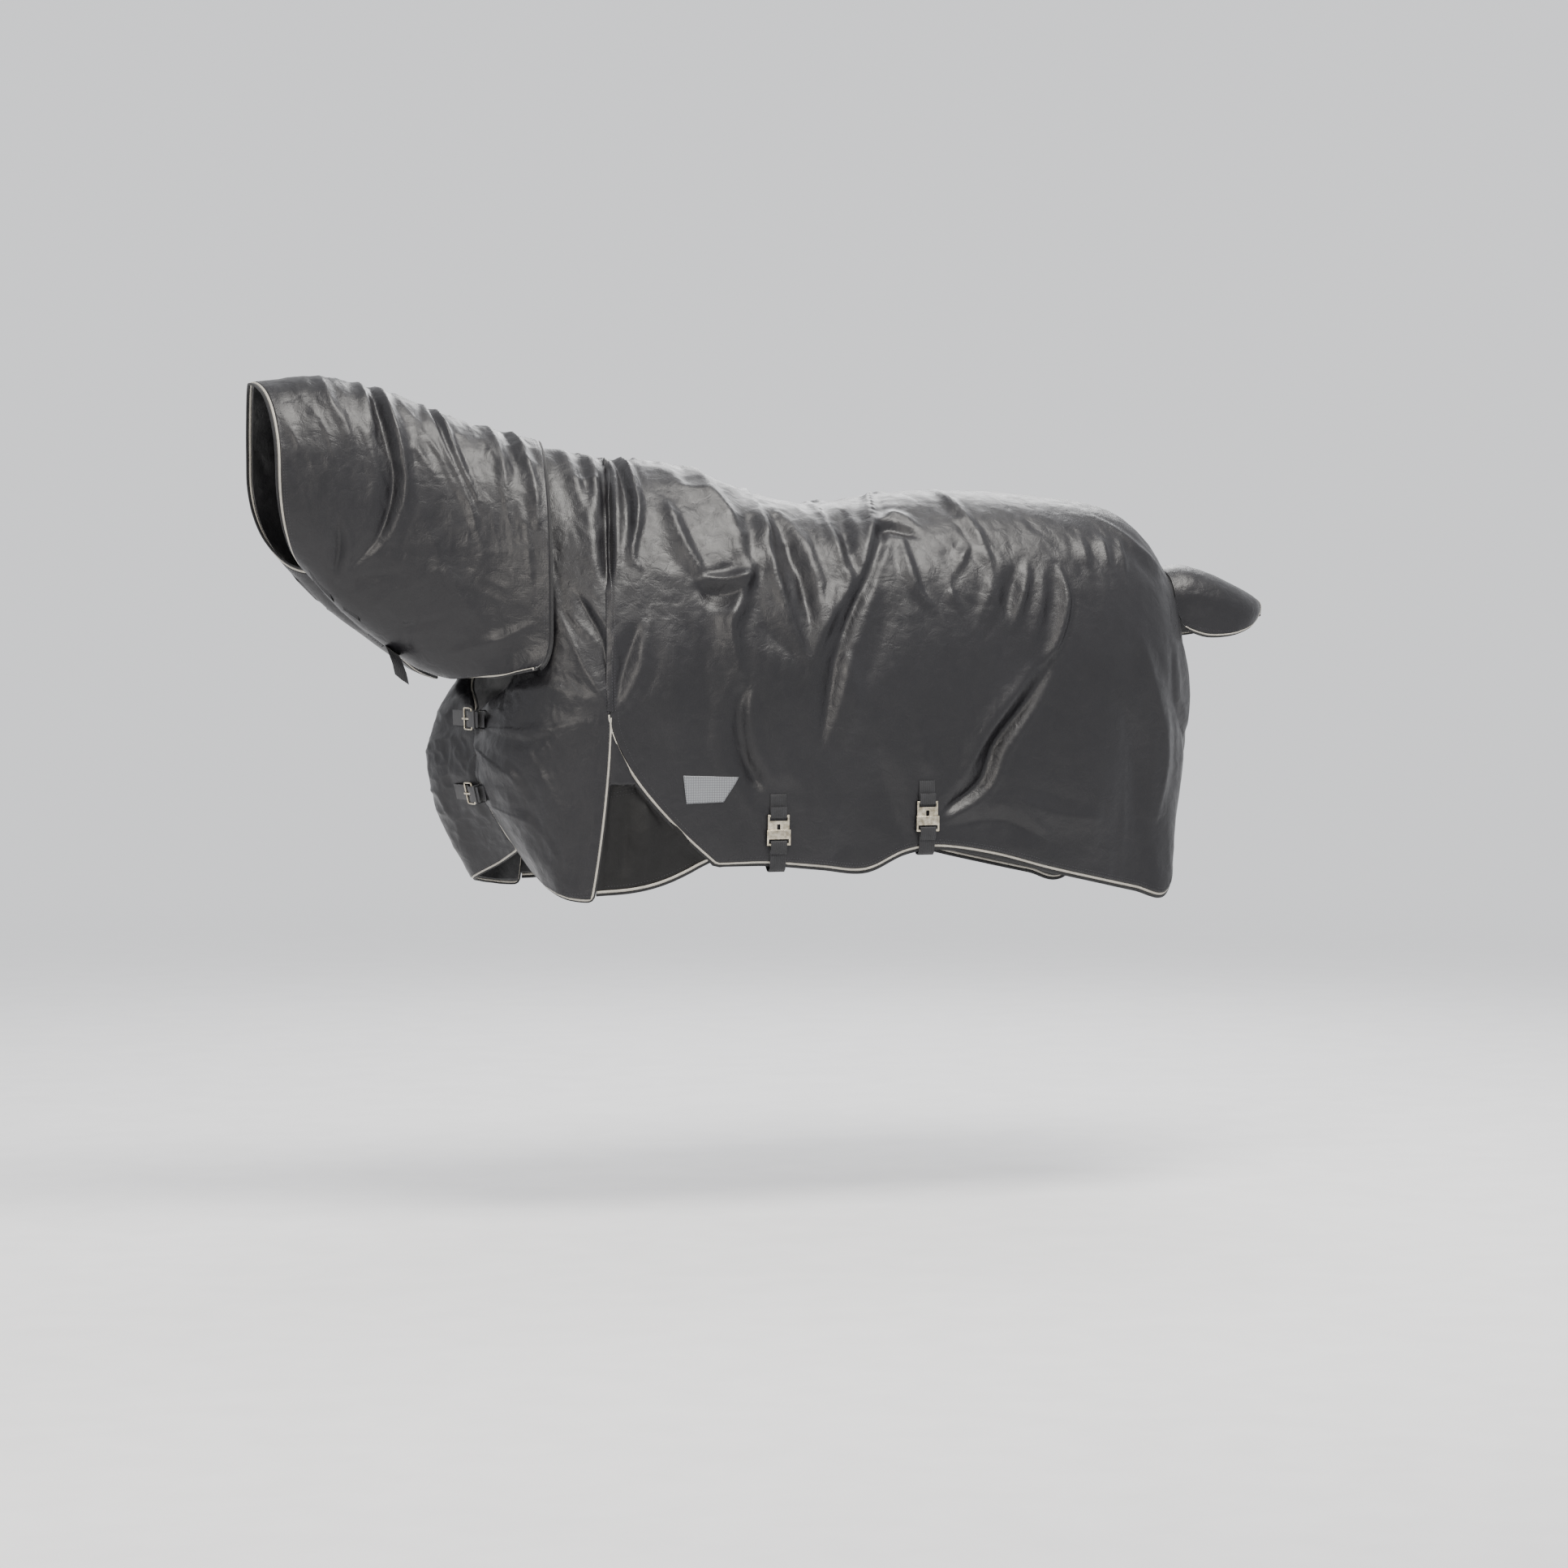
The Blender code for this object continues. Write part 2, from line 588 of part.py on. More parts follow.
def share_seam(body_normals, front_normals, side):
    """Gives the body and one front panel the same normals where they are seamed."""
    for k, row in enumerate(body_rows(side)[: APEX_ROW + 1]):
        both = unit(body_normals[0, row] + front_normals[-1, k])
        front_normals[-1, k] = both
        if k > 0 or side > 0:
            body_normals[0, row] = both


def padded_layers(prefix, outer_name, grid, normals):
    """Lining, wadding and outer cloth over one base grid."""
    layer(f"{prefix}_lining", grid, normals, 0.0, LINING_TOP, "lining_cloth")
    layer(f"{prefix}_wadding", grid, normals, LINING_TOP + PLY_GAP, WADDING_TOP, "wadding_fill")
    layer(outer_name, grid, normals, WADDING_TOP + PLY_GAP, CLOTH_TOP, "outer_cloth")


def body_edges(grid, normals):
    """The piping down each gusset's rear edge and along the hem, and the binding round the rear edge."""
    last = BODY_COLUMNS - 1
    for side, name in ((-1, "left"), (1, "right")):
        rows = body_rows(side)
        places = column_places(0, 1, rows[APEX_ROW + 1 : -1])
        places.append((0, rows[-1], 1, rows[-2]))
        places += row_places(range(1, last), rows[-1], rows[-2])
        line = edge_line(grid, normals, places, EDGE_OFFSET, CLOTH_TOP / 2)
        cord(f"body_piping_{name}", line, PIPING_RADIUS, "piping_cord")
    rows = range(1, grid.shape[1] - 1)
    line = edge_line(grid, normals, column_places(last, last - 1, rows), EDGE_OFFSET, CLOTH_TOP / 2)
    cord("rear_binding", line, PIPING_RADIUS, "binding")


def front_edges(name, grid, normals):
    """The piping round a front panel: neck opening, centre front, hem, and the gusset's front edge."""
    last_row, last = len(DOWN) - 1, len(FRONT_PLACES) - 1
    places = row_places(range(CREST_COLUMN - 2, 0, -1), 0, 1)
    places.append((0, 0, 1, 1))
    places += column_places(0, 1, range(1, last_row))
    places.append((0, last_row, 1, last_row - 1))
    places += row_places(range(1, last), last_row, last_row - 1)
    places.append((last, last_row, last - 1, last_row - 1))
    places += column_places(last, last - 1, range(last_row - 1, APEX_ROW, -1))
    line = edge_line(grid, normals, places, EDGE_OFFSET, CLOTH_TOP / 2)
    cord(f"front_piping_{name}", line, PIPING_RADIUS, "piping_cord")


def make_gusset(side, name, body, front):
    """The gusset let in behind the elbow, between the two piped edges, with piping along its own hem."""
    body_base, body_normals = body
    front_base, front_normals = front
    rows = body_rows(side)[APEX_ROW + 1 :]
    fore = edge_line(
        front_base, front_normals, column_places(-1, -2, range(APEX_ROW + 1, len(DOWN))), 2 * EDGE_OFFSET, 0.0
    )
    aft = edge_line(body_base, body_normals, column_places(0, 1, rows), 2 * EDGE_OFFSET, 0.0)
    for line in (fore, aft):
        line[-1] = line[-2] * (1 - GUSSET_END) + line[-1] * GUSSET_END
    normal = np.array([0.0, float(side), 0.0])
    columns = []
    for share in (0.0, 0.25, 0.5, 0.75, 1.0):
        swell = math.sin(math.pi * share)
        middle = fore * (1 - share) + aft * share
        drop = np.linspace(0, 1, len(rows))[:, None]
        bulge = normal * GUSSET_BULGE * swell * drop
        middle = middle + bulge - np.array([0, 0, 1]) * GUSSET_SAG * swell * drop**3
        columns.append(middle)
    grid = np.array(columns)
    normals = outward_normals(grid, -SIDE_DROP / 2)
    layer(f"gusset_{name}", grid, normals, LINING_TOP + PLY_GAP, CLOTH_TOP - PLY_GAP, "outer_cloth")
    places = row_places(range(len(columns)), -1, -2)
    line = edge_line(grid, normals, places, EDGE_OFFSET - TOUCH_GAP / 2, CLOTH_TOP / 2)
    cord(f"gusset_piping_{name}", line[1:-1], PIPING_RADIUS, "piping_cord")
    return grid, normals


def make_neck():
    """The neck cover: three layers, piping on its front and lower edges, and binding on its rear edge."""
    columns = np.linspace(0, len(NECK_RIBS) - 1, NECK_COLUMNS)
    grid = grid_of(neck_point, columns, both_sides(NECK_DOWN))
    normals = outward_normals(grid, 0.0)
    padded_layers("neck", "neck_outer", grid, normals)
    rows = grid.shape[1]
    last = NECK_COLUMNS - 1
    inner_rows = range(1, rows - 1)
    front = edge_line(grid, normals, column_places(0, 1, inner_rows), EDGE_OFFSET + TOUCH_GAP, CLOTH_TOP / 2)
    cord("neck_front_piping", front, PIPING_RADIUS, "piping_cord")
    rear = edge_line(grid, normals, column_places(last, last - 1, inner_rows), EDGE_OFFSET, CLOTH_TOP / 2)
    cord("neck_rear_binding", rear, PIPING_RADIUS, "binding")
    for row, inner, name in ((0, 1, "left"), (rows - 1, rows - 2, "right")):
        line = edge_line(grid, normals, row_places(range(last + 1), row, inner), EDGE_OFFSET, CLOTH_TOP / 2)
        cord(f"neck_lower_piping_{name}", line, PIPING_RADIUS, "piping_cord")
    return grid, normals


def make_tail_flap():
    """The flap arched over the tail: outer cloth and lining, with piping round its free edge."""
    columns = np.linspace(0, len(FLAP_RIBS) - 1, FLAP_COLUMNS)
    grid = grid_of(flap_point, columns, both_sides(FLAP_DOWN))
    normals = outward_normals(grid, flap_root()[2] - HALF_TAIL_FLAP)
    layer("tail_flap_lining", grid, normals, 0.0, LINING_TOP, "lining_cloth")
    layer("tail_flap_outer", grid, normals, LINING_TOP + PLY_GAP, THIN_CLOTH_TOP, "outer_cloth")
    rows, last = grid.shape[1], FLAP_COLUMNS - 1
    places = row_places(range(1, last), 0, 1)
    places.append((last, 0, last - 1, 1))
    places += column_places(last, last - 1, range(1, rows - 1))
    places.append((last, rows - 1, last - 1, rows - 2))
    places += row_places(range(last - 1, 0, -1), rows - 1, rows - 2)
    line = edge_line(grid, normals, places, EDGE_OFFSET, THIN_CLOTH_TOP / 2)
    cord("tail_flap_piping", line, PIPING_RADIUS, "piping_cord")


def make_patch(tree):
    """The reflective patch on the left side, laid on the cloth."""
    top_left, top_right, foot_right, foot_left = (np.array([x, -1.0, z]) for x, z in PATCH_CORNERS)
    out = np.array([0.0, -1.0, 0.0])
    grid = np.zeros((5, 3, 3))
    for i, u in enumerate(np.linspace(0, 1, 5)):
        for j, v in enumerate(np.linspace(0, 1, 3)):
            top = top_left * (1 - u) + top_right * u
            foot = foot_left * (1 - u) + foot_right * u
            start = top * (1 - v) + foot * v
            grid[i, j] = cast(tree, start, -out)
    low, high = 2 * TOUCH_GAP, 2 * TOUCH_GAP + PATCH_THICKNESS
    slab("reflective_patch", grid + out * low, grid + out * high, "reflector")


def make_neck_tabs(front_tree, neck_tree):
    """The two touch-tape tabs that hold the neck cover down on the withers, filling the lap between them."""
    up = np.array([0.0, 0.0, 1.0])
    for side, name in ((-1, "left"), (1, "right")):
        lower, upper = np.zeros((4, 4, 3)), np.zeros((4, 4, 3))
        for i, dx in enumerate(np.linspace(-TAB_HALF, TAB_HALF, 4)):
            for j, dy in enumerate(np.linspace(-TAB_HALF, TAB_HALF, 4)):
                place = np.array([TAB_X + dx, side * TAB_CENTRE_Y + dy, 1.0])
                lower[i, j] = cast(front_tree, place, -up) + up * 2 * TOUCH_GAP
                upper[i, j] = cast(neck_tree, lower[i, j], up) - up * 2 * TOUCH_GAP
        slab(f"neck_tab_{name}", lower, upper, "webbing")


def closure_frame(share):
    """Origin and axes at the centre front: up the edge, across to the right, and outwards."""
    place = front_point(-1, 0.0, share)
    above = front_point(-1, 0.0, share - 0.05)
    origin = np.array([place[0], 0.0, place[2]])
    up = above - place
    up = unit(np.array([up[0], 0.0, up[2]]))
    across = np.array([0.0, 1.0, 0.0])
    return origin, up, across, np.cross(up, across)


def taut_line(tree, origin, up, across, out):
    """The line a strap pulled tight over the chest takes, as (across, out) pairs in the closure's frame."""
    samples = []
    for u in np.linspace(CLOSURE_LEFT, CLOSURE_RIGHT, 43):
        heights = []
        for v in np.linspace(-0.55, 0.55, 5) * CHEST_STRAP_WIDTH:
            start = origin + across * u + up * v + out * 0.3
            hit = tree.ray_cast(Vector(start), Vector(-out))[0]
            if hit is not None:
                heights.append(float(np.dot(np.array(hit) - origin, out)))
        if heights:
            samples.append((u, max(heights)))
    hull = []
    for point in samples:
        while len(hull) > 1 and cross_of(hull[-2], hull[-1], point) >= 0:
            hull.pop()
        hull.append(point)
    return hull


def cross_of(a, b, c):
    """Positive where the corner from a through b to c turns left."""
    return (b[0] - a[0]) * (c[1] - a[1]) - (b[1] - a[1]) * (c[0] - a[0])


class Closure:
    """Where one chest fastening lies: its axes, the line of a taut strap, and the levels of its layers."""

    def __init__(self, name, tree):
        """Finds the fastening's place on the front panels."""
        self.name, self.tree = name, tree
        self.origin, self.up, self.across, self.out = closure_frame(CLOSURE_AT[name])
        self.line = tuple(zip(*taut_line(tree, self.origin, self.up, self.across, self.out)))
        self.far_bar = BUCKLE_CENTRE - BUCKLE_SPAN / 2
        self.near_bar = BUCKLE_CENTRE + BUCKLE_SPAN / 2
        axis_level = TOUCH_GAP + WEBBING + TOUCH_GAP + WIRE_RADIUS
        self.wrap = WIRE_RADIUS + TOUCH_GAP + WEBBING / 2
        self.top_level = axis_level + self.wrap
        self.over_level = self.top_level + WEBBING + TOUCH_GAP
        self.left_end = self.place(self.far_bar, axis_level)
        self.right_end = self.place(self.near_bar, axis_level)
        self.along = unit(self.right_end - self.left_end)
        self.face = unit(np.cross(self.up, self.along))

    def place(self, u, level):
        """The point a way across the chest and a height over the taut line."""
        return self.origin + self.across * u + self.out * (float(np.interp(u, *self.line)) + level)

    def strap(self, points, wanted, skip):
        """Webbing along points, with the cells in skip left out of it for the prong or the bar."""
        points = np.array(points)
        tangents = unit(np.gradient(points, axis=0))
        normals = np.cross(np.array([self.up] * len(points)), tangents)
        ribbon(wanted, points, normals, CHEST_STRAP_WIDTH, "webbing", skip, HOLE_HALF_WIDTH)


def make_chape(closure):
    """The chape runs in under the buckle's far bar, round it and back."""
    turn_at = closure.far_bar - BAR_CLEARANCE
    under = [closure.place(u, STRAP_LEVEL) for u in np.linspace(CLOSURE_LEFT, turn_at, 5)]
    half_turn = arc(closure.wrap, 7, -math.pi / 2, math.pi / 2)
    turn = [closure.left_end + closure.along * u + closure.face * n for u, n in half_turn]
    back = [closure.place(u, closure.top_level) for u in np.linspace(turn_at, KEEPER_AT + CHAPE_RETURN, 3)]
    lead = len(under)
    slot = [(k, 1) for k in range(lead - 1, lead + len(turn))]
    closure.strap(under + turn + back, f"chape_{closure.name}", slot)


def make_buckle(closure):
    """The frame is a closed wire; its origin is the axis of the bar it turns on."""
    half = closure.up * BUCKLE_HEIGHT / 2
    left_end, right_end = closure.left_end, closure.right_end
    corners = [left_end - half, right_end - half, right_end + half, left_end + half]
    matrix = frame_matrix(left_end, closure.along, closure.up)
    inverse = matrix.inverted()
    rounded = []
    for k, corner in enumerate(corners):
        to_last, to_next = unit(corners[k - 1] - corner), unit(corners[(k + 1) % 4] - corner)
        rounded.append(corner + to_last * BUCKLE_BEND)
        rounded.append(corner + (to_last + to_next) * BUCKLE_BEND * 0.3)
        rounded.append(corner + to_next * BUCKLE_BEND)
    points = [inverse @ Vector(point) for point in rounded]
    ring = cord(f"buckle_{closure.name}", points, WIRE_RADIUS, "hardware", 1, True)
    ring.matrix_world = matrix


def make_prong(closure):
    """An eye round the buckle's bar, and a shank that lies on the near bar."""
    hole = arc(WIRE_RADIUS + TOUCH_GAP, 13, 0, 2 * math.pi)[:-1]
    rest = WIRE_RADIUS + TOUCH_GAP
    tip = BUCKLE_SPAN + WIRE_RADIUS + PRONG_OVERHANG
    neck = BUCKLE_SPAN - PRONG_TAPER
    outline = [(neck, rest - TOUCH_GAP), (tip, rest + TOUCH_GAP), (tip, rest + PRONG_THICKNESS * 0.7)]
    outline.append((neck, rest + PRONG_THICKNESS))
    outline += arc(PRONG_EYE, 9, math.radians(75), math.radians(315))
    prong = flat_shape(f"prong_{closure.name}", [outline, hole], PRONG_WIDTH, "hardware", None)
    prong.matrix_world = frame_matrix(closure.left_end, closure.along, closure.face)


def make_billet(closure):
    """The billet comes from the right under the near bar, up past the prong, and over the far bar."""
    sewn_to = closure.near_bar + BAR_CLEARANCE
    sewn = [closure.place(u, STRAP_LEVEL) for u in np.linspace(CLOSURE_RIGHT, sewn_to, 5)]
    climb = closure.over_level - STRAP_LEVEL
    rise = []
    for span, share in BILLET_RISE:
        rise.append(closure.place(closure.near_bar - BUCKLE_SPAN * span, STRAP_LEVEL + climb * share))
    tail = [closure.place(u, closure.over_level) for u in np.linspace(closure.far_bar, BILLET_TIP, 5)]
    path = sewn + rise + tail
    slot = [(k, 1) for k in range(len(tail) - 1, len(tail) + 3)]
    closure.strap(path[::-1], f"billet_{closure.name}", slot)


def make_keeper(closure):
    """The keeper arches over the chape and the billet's tip, its two feet on the cloth."""
    centre = closure.place(KEEPER_AT, 0.0)
    slope = unit(closure.place(KEEPER_AT + KEEPER_STEP, 0.0) - closure.place(KEEPER_AT - KEEPER_STEP, 0.0))
    rise = np.cross(closure.up, slope)
    inner = CHEST_STRAP_WIDTH / 2 + 2 * TOUCH_GAP
    outer = inner + WEBBING
    feet = []
    for v in (-(inner + outer) / 2, (inner + outer) / 2):
        ends = [centre + slope * d + closure.up * v for d in (-KEEPER_WIDTH / 2, 0.0, KEEPER_WIDTH / 2)]
        hits = [cast(closure.tree, end + rise * CAST_BACK, -rise) for end in ends]
        feet.append(max(float(np.dot(hit - centre, rise)) for hit in hits) + 1.5 * TOUCH_GAP)
    under_side = closure.over_level + WEBBING / 2 + TOUCH_GAP
    top = under_side + WEBBING
    shape = [(-outer, feet[0]), (-inner, feet[0]), (-inner, under_side), (inner, under_side)]
    shape += [(inner, feet[1]), (outer, feet[1]), (outer, top), (-outer, top)]
    matrix = frame_matrix(centre, closure.up, rise)
    flat_shape(f"keeper_{closure.name}", [shape], KEEPER_WIDTH, "webbing", matrix)


def make_closure(name, tree):
    """One chest fastening: chape, buckle frame, prong, billet and keeper."""
    closure = Closure(name, tree)
    make_chape(closure)
    make_buckle(closure)
    make_prong(closure)
    make_billet(closure)
    make_keeper(closure)


def flank_frame(tree, x, z):
    """Origin on the left flank's cloth and axes there: to the rear, up and outwards."""
    hit, normal, _, _ = tree.ray_cast(Vector((x, -1.0, z)), Vector((0.0, 1.0, 0.0)))
    out = np.array(normal)
    out = unit(out if out[1] < 0 else -out)
    rear = unit(np.array([1.0, 0.0, 0.0]) - out * out[0])
    return np.array(hit), rear, np.cross(out, rear), out


def flank_level(tree, frame, v, half):
    """How far the cloth stands out at a height v on a flank's frame, at its highest across a strap."""
    origin, rear, up, out = frame
    places = [origin + up * v + rear * s for s in np.linspace(-half, half, 5)]
    hits = [tree.ray_cast(Vector(place + out * 0.05), Vector(-out))[0] for place in places]
    return max(float(np.dot(np.array(hit) - origin, out)) for hit in hits if hit is not None)


def path_ribbon(name, points, across, width):
    """Webbing along a path; across gives the way its width lies at each point."""
    points = np.array(points)
    tangents = unit(np.gradient(points, axis=0))
    ribbon(name, points, np.cross(tangents, np.array(across)), width, "webbing")


class Flank:
    """Where one belly strap hooks on: its axes on the left flank and the levels of its fittings."""

    def __init__(self, name, other, tree):
        """Finds the place, with other the strap whose end on the right this one reaches."""
        self.name, self.other, self.tree = name, other, tree
        self.frame = flank_frame(tree, HOOK_X[name], HOOK_Z[name])
        self.origin, self.rear, self.up, self.out = self.frame
        levels = [self.level(v, PLATE_WIDTH / 2) for v in np.linspace(PLATE_TOP, HOOK_FOOT, 6)]
        self.base = max(levels) + HARDWARE_LIFT
        self.plate_low = self.base + 2 * TOUCH_GAP + WEBBING
        self.plate_level = self.plate_low + PLATE / 2
        self.hook_level = self.plate_level + PLATE + TOUCH_GAP

    def level(self, v, half):
        """How far the cloth stands out at a height v, at its highest across a width."""
        return flank_level(self.tree, self.frame, v, half)

    def spot(self, v, level):
        """The point at a height v up the flank and a level off it."""
        return self.origin + self.up * v + self.out * level

    def belly_run(self):
        """Both ends of the straight run under the belly, from left to right."""
        lead = BELLY_LEAD * np.sign(HOOK_X[self.other] - HOOK_X[self.name])
        level = BELLY_LEVEL[self.name]
        start = np.array([HOOK_X[self.name] + lead, -BELLY_HALF, level])
        return start, np.array([HOOK_X[self.other] - lead, BELLY_HALF, level])


def make_surcingle_tab(flank):
    """The tab is sewn to the cloth above, and turns back up round the plate's top bar."""
    turn = TAB_SLOT[1] - TOUCH_GAP - WEBBING / 2
    back = flank.base + TOUCH_GAP + WEBBING / 2
    front = flank.plate_low + PLATE + TOUCH_GAP + WEBBING / 2
    path = []
    for v in np.linspace(TAB_TOP, TAB_TOP / 2, 5):
        path.append(flank.spot(v, flank.level(v, SURCINGLE_WIDTH / 2) + STRAP_LEVEL + TOUCH_GAP / 2))
    path.append(flank.spot(TAB_BACK, back))
    path += [flank.spot(turn + run, back + lift) for run, lift in TAB_BEND]
    path += [flank.spot(turn + run, front - lift) for run, lift in TAB_BEND[::-1]]
    path.append(flank.spot(TAB_END, front))
    path_ribbon(f"surcingle_tab_{flank.name}", path, [flank.rear] * len(path), SURCINGLE_WIDTH)


def make_hook_plate(flank):
    """The plate has a slot for the tab and an upright slot for the T of the hook."""
    rim = rectangle(PLATE_WIDTH, PLATE_TOP - PLATE_FOOT, 0.0, (PLATE_TOP + PLATE_FOOT) / 2)
    tab_slot = rectangle(PLATE_SLOT_WIDTH, TAB_SLOT[1] - TAB_SLOT[0], 0.0, sum(TAB_SLOT) / 2)
    t_slot = rectangle(T_SLOT_WIDTH, T_SLOT[1] - T_SLOT[0], 0.0, sum(T_SLOT) / 2)
    matrix = frame_matrix(flank.spot(0, flank.plate_level), flank.rear, flank.up)
    flat_shape(f"hook_plate_{flank.name}", [rim, tab_slot, t_slot], PLATE, "hardware", matrix)


def make_t_hook(flank):
    """The hook's origin is its post, which it turns on; the T behind the plate keeps it in."""
    name = flank.name
    matrix = frame_matrix(flank.spot(POST_AT, flank.hook_level), flank.rear, flank.up)
    rim = rectangle(HOOK_WIDTH, HOOK_TOP - HOOK_FOOT, 0.0, (HOOK_TOP + HOOK_FOOT) / 2 - POST_AT)
    slot = rectangle(HOOK_SLOT_WIDTH, STRAP_SLOT[1] - STRAP_SLOT[0], 0.0, sum(STRAP_SLOT) / 2 - POST_AT)
    hook = to_mesh_object(flat_shape(f"t_hook_{name}", [rim, slot], PLATE, "hardware", matrix))
    head_level = flank.base + TOUCH_GAP / 2 + T_HEAD_THICKNESS / 2 - flank.hook_level
    post = (POST_SIZE, POST_SIZE, -head_level)
    middle = matrix @ Matrix.Translation((0.0, 0.0, head_level / 2))
    join_to(hook, box_tool(f"post_tool_{name}", post, middle))
    head = (T_HEAD, POST_SIZE, T_HEAD_THICKNESS)
    join_to(hook, box_tool(f"head_tool_{name}", head, matrix @ Matrix.Translation((0.0, 0.0, head_level))))


def hook_turn(flank):
    """A strap's way through the hook's slot and down the flank to the hem."""
    turn = STRAP_SLOT[0] + TOUCH_GAP + WEBBING / 2 + HOOK_PLAY
    front = flank.hook_level + PLATE / 2 + TOUCH_GAP + WEBBING / 2
    back = flank.hook_level - PLATE / 2 - 3 * TOUCH_GAP - WEBBING / 2
    lows = [flank.level(v, SURCINGLE_WIDTH / 2) + STRAP_LEVEL + 2 * TOUCH_GAP for v in STRAP_LOWS]
    path = [flank.spot(STRAP_END, max(lows) + WEBBING + 2 * TOUCH_GAP), flank.spot(STRAP_FOLD, front)]
    path += [flank.spot(turn - run, front - lift) for run, lift in STRAP_BEND]
    path += [flank.spot(turn - run, back + lift) for run, lift in STRAP_BEND[::-1]]
    path.append(flank.spot(STRAP_BACK, back - 1.5 * TOUCH_GAP))
    return path + [flank.spot(v, low) for v, low in zip(STRAP_LOWS, lows)]


def right_side_run(flank, foot):
    """A strap's way up the right side, from above its turn at the hem to its sewn end on the anchor."""
    x = HOOK_X[flank.other]
    top = ANCHOR_Z[flank.other] + ANCHOR_SIZE * 0.3
    half = SURCINGLE_WIDTH / 2
    level = STRAP_LEVEL + ANCHOR_THICKNESS + 3 * TOUCH_GAP
    path = []
    for z in np.linspace(foot + STRAP_RISE, top, 4):
        sides = [cast(flank.tree, (x + s, 1.0, z), (0.0, -1.0, 0.0))[1] for s in (-half, 0.0, half)]
        path.append(np.array([x, max(sides) + level, z]))
    return path


def make_surcingle_strap(flank):
    """The strap turns through the hook's slot, goes over the hem, under the belly and up the right side."""
    path = hook_turn(flank)
    local = len(path)
    right = hem_turn(flank.tree, HOOK_X[flank.other], 1)
    start, end = flank.belly_run()
    path += hem_turn(flank.tree, HOOK_X[flank.name], -1)
    path += [start * (1 - t) + end * t for t in np.linspace(0, 1, 5)]
    path += right[::-1]
    path += right_side_run(flank, right[0][2])
    across = [flank.rear] * local + [np.array([1.0, 0.0, 0.0])] * (len(path) - local)
    path_ribbon(f"surcingle_strap_{flank.name}", path, across, SURCINGLE_WIDTH)


def make_strap_slide(flank):
    """The adjuster slide is a flat ring round the straight run under the belly."""
    start, end = flank.belly_run()
    across = unit(np.cross(unit(end - start), np.array([0.0, 0.0, 1.0])))
    wide, deep = SURCINGLE_WIDTH + 2 * SLIDE_PLAY, WEBBING + 2 * SLIDE_PLAY
    ring = [rectangle(wide + 2 * SLIDE_WALL, deep + 2 * SLIDE_WALL), rectangle(wide, deep)]
    place = start * (1 - SLIDE_AT) + end * SLIDE_AT
    matrix = frame_matrix(place, across, (0.0, 0.0, 1.0))
    flat_shape(f"strap_slide_{flank.name}", ring, SLIDE_LENGTH, "hardware", matrix)


def make_strap_anchor(flank):
    """The anchor patch lies between the strap's sewn end and the right side."""
    grid = np.zeros((4, 4, 3))
    centre_x, centre_z = HOOK_X[flank.other], ANCHOR_Z[flank.other]
    for i, dx in enumerate(np.linspace(-0.5, 0.5, 4) * ANCHOR_SIZE):
        for j, dz in enumerate(np.linspace(-0.5, 0.5, 4) * ANCHOR_SIZE):
            grid[i, j] = cast(flank.tree, (centre_x + dx, 1.0, centre_z + dz), (0.0, -1.0, 0.0))
    out = np.array([0.0, 1.0, 0.0])
    low, high = 2 * TOUCH_GAP, 2 * TOUCH_GAP + ANCHOR_THICKNESS
    slab(f"strap_anchor_{flank.name}", grid + out * low, grid + out * high, "webbing")


def make_belly_strap(name, other, tree):
    """One belly strap: tab and slotted plate, T-hook, strap under the belly, adjuster slide, and anchor."""
    flank = Flank(name, other, tree)
    make_surcingle_tab(flank)
    make_hook_plate(flank)
    make_t_hook(flank)
    make_surcingle_strap(flank)
    make_strap_slide(flank)
    make_strap_anchor(flank)


def hem_turn(tree, x, side):
    """A strap's way round the hem on one side: from outside the cloth, down under the edge, and in."""
    z = HEM_SEARCH
    while tree.ray_cast(Vector((x, side * 1.0, z)), Vector((0.0, -side, 0.0)))[0] is None:
        z += HEM_STEP
    edge = cast(tree, (x, side * 1.0, z), (0.0, -side, 0.0))
    clear = STRAP_LEVEL + 4 * TOUCH_GAP
    bottom = z - 2 * PIPING_RADIUS - HEM_DIP
    outside = side * (abs(edge[1]) + clear)
    return [
        np.array([x, outside, z + 0.010]),
        np.array([x, outside, z - 0.004]),
        np.array([x, outside - side * 0.002, bottom + 0.006]),
        np.array([x, outside - side * 0.008, bottom]),
        np.array([x, outside - side * 0.018, bottom + 0.001]),
        np.array([x, outside - side * 0.032, bottom + 0.014]),
    ]


def make_throat_straps(tree):
    """Three touch-tape straps that close the neck cover under the throat."""
    for number, along in enumerate(THROAT_STRAPS, 1):
        shares = np.concatenate([-np.array(THROAT_SHARES), THROAT_SHARES[::-1]])
        loose = number == len(THROAT_STRAPS)
        if loose:
            shares = shares[4:]
        grid, faces = [], []
        for share in shares:
            centre = neck_point(along, math.copysign(NECK_WIDEST_AT, share)) * np.array([1, 0, 1])
            row = []
            for offset in (-THROAT_STEP, 0.0, THROAT_STEP):
                target = neck_point(along + offset, share)
                middle = np.array([target[0], 0.0, centre[2]])
                out = unit(target - middle)
                row.append((cast(tree, target + out * 0.05, -out), out))
            grid.append([point for point, _ in row])
            faces.append([out for _, out in row])
        grid, faces = np.array(grid), np.array(faces)
        if loose:
            hang = [grid[0] + np.array(drop) for drop in DANGLE]
            grid = np.concatenate([np.array(hang), grid])
            faces = np.concatenate([np.array([faces[0]] * len(DANGLE)), faces])
        low = THROAT_LEVELS[number - 1] - WEBBING / 2
        slab(f"throat_strap_{number}", grid + faces * low, grid + faces * (low + WEBBING), "webbing")


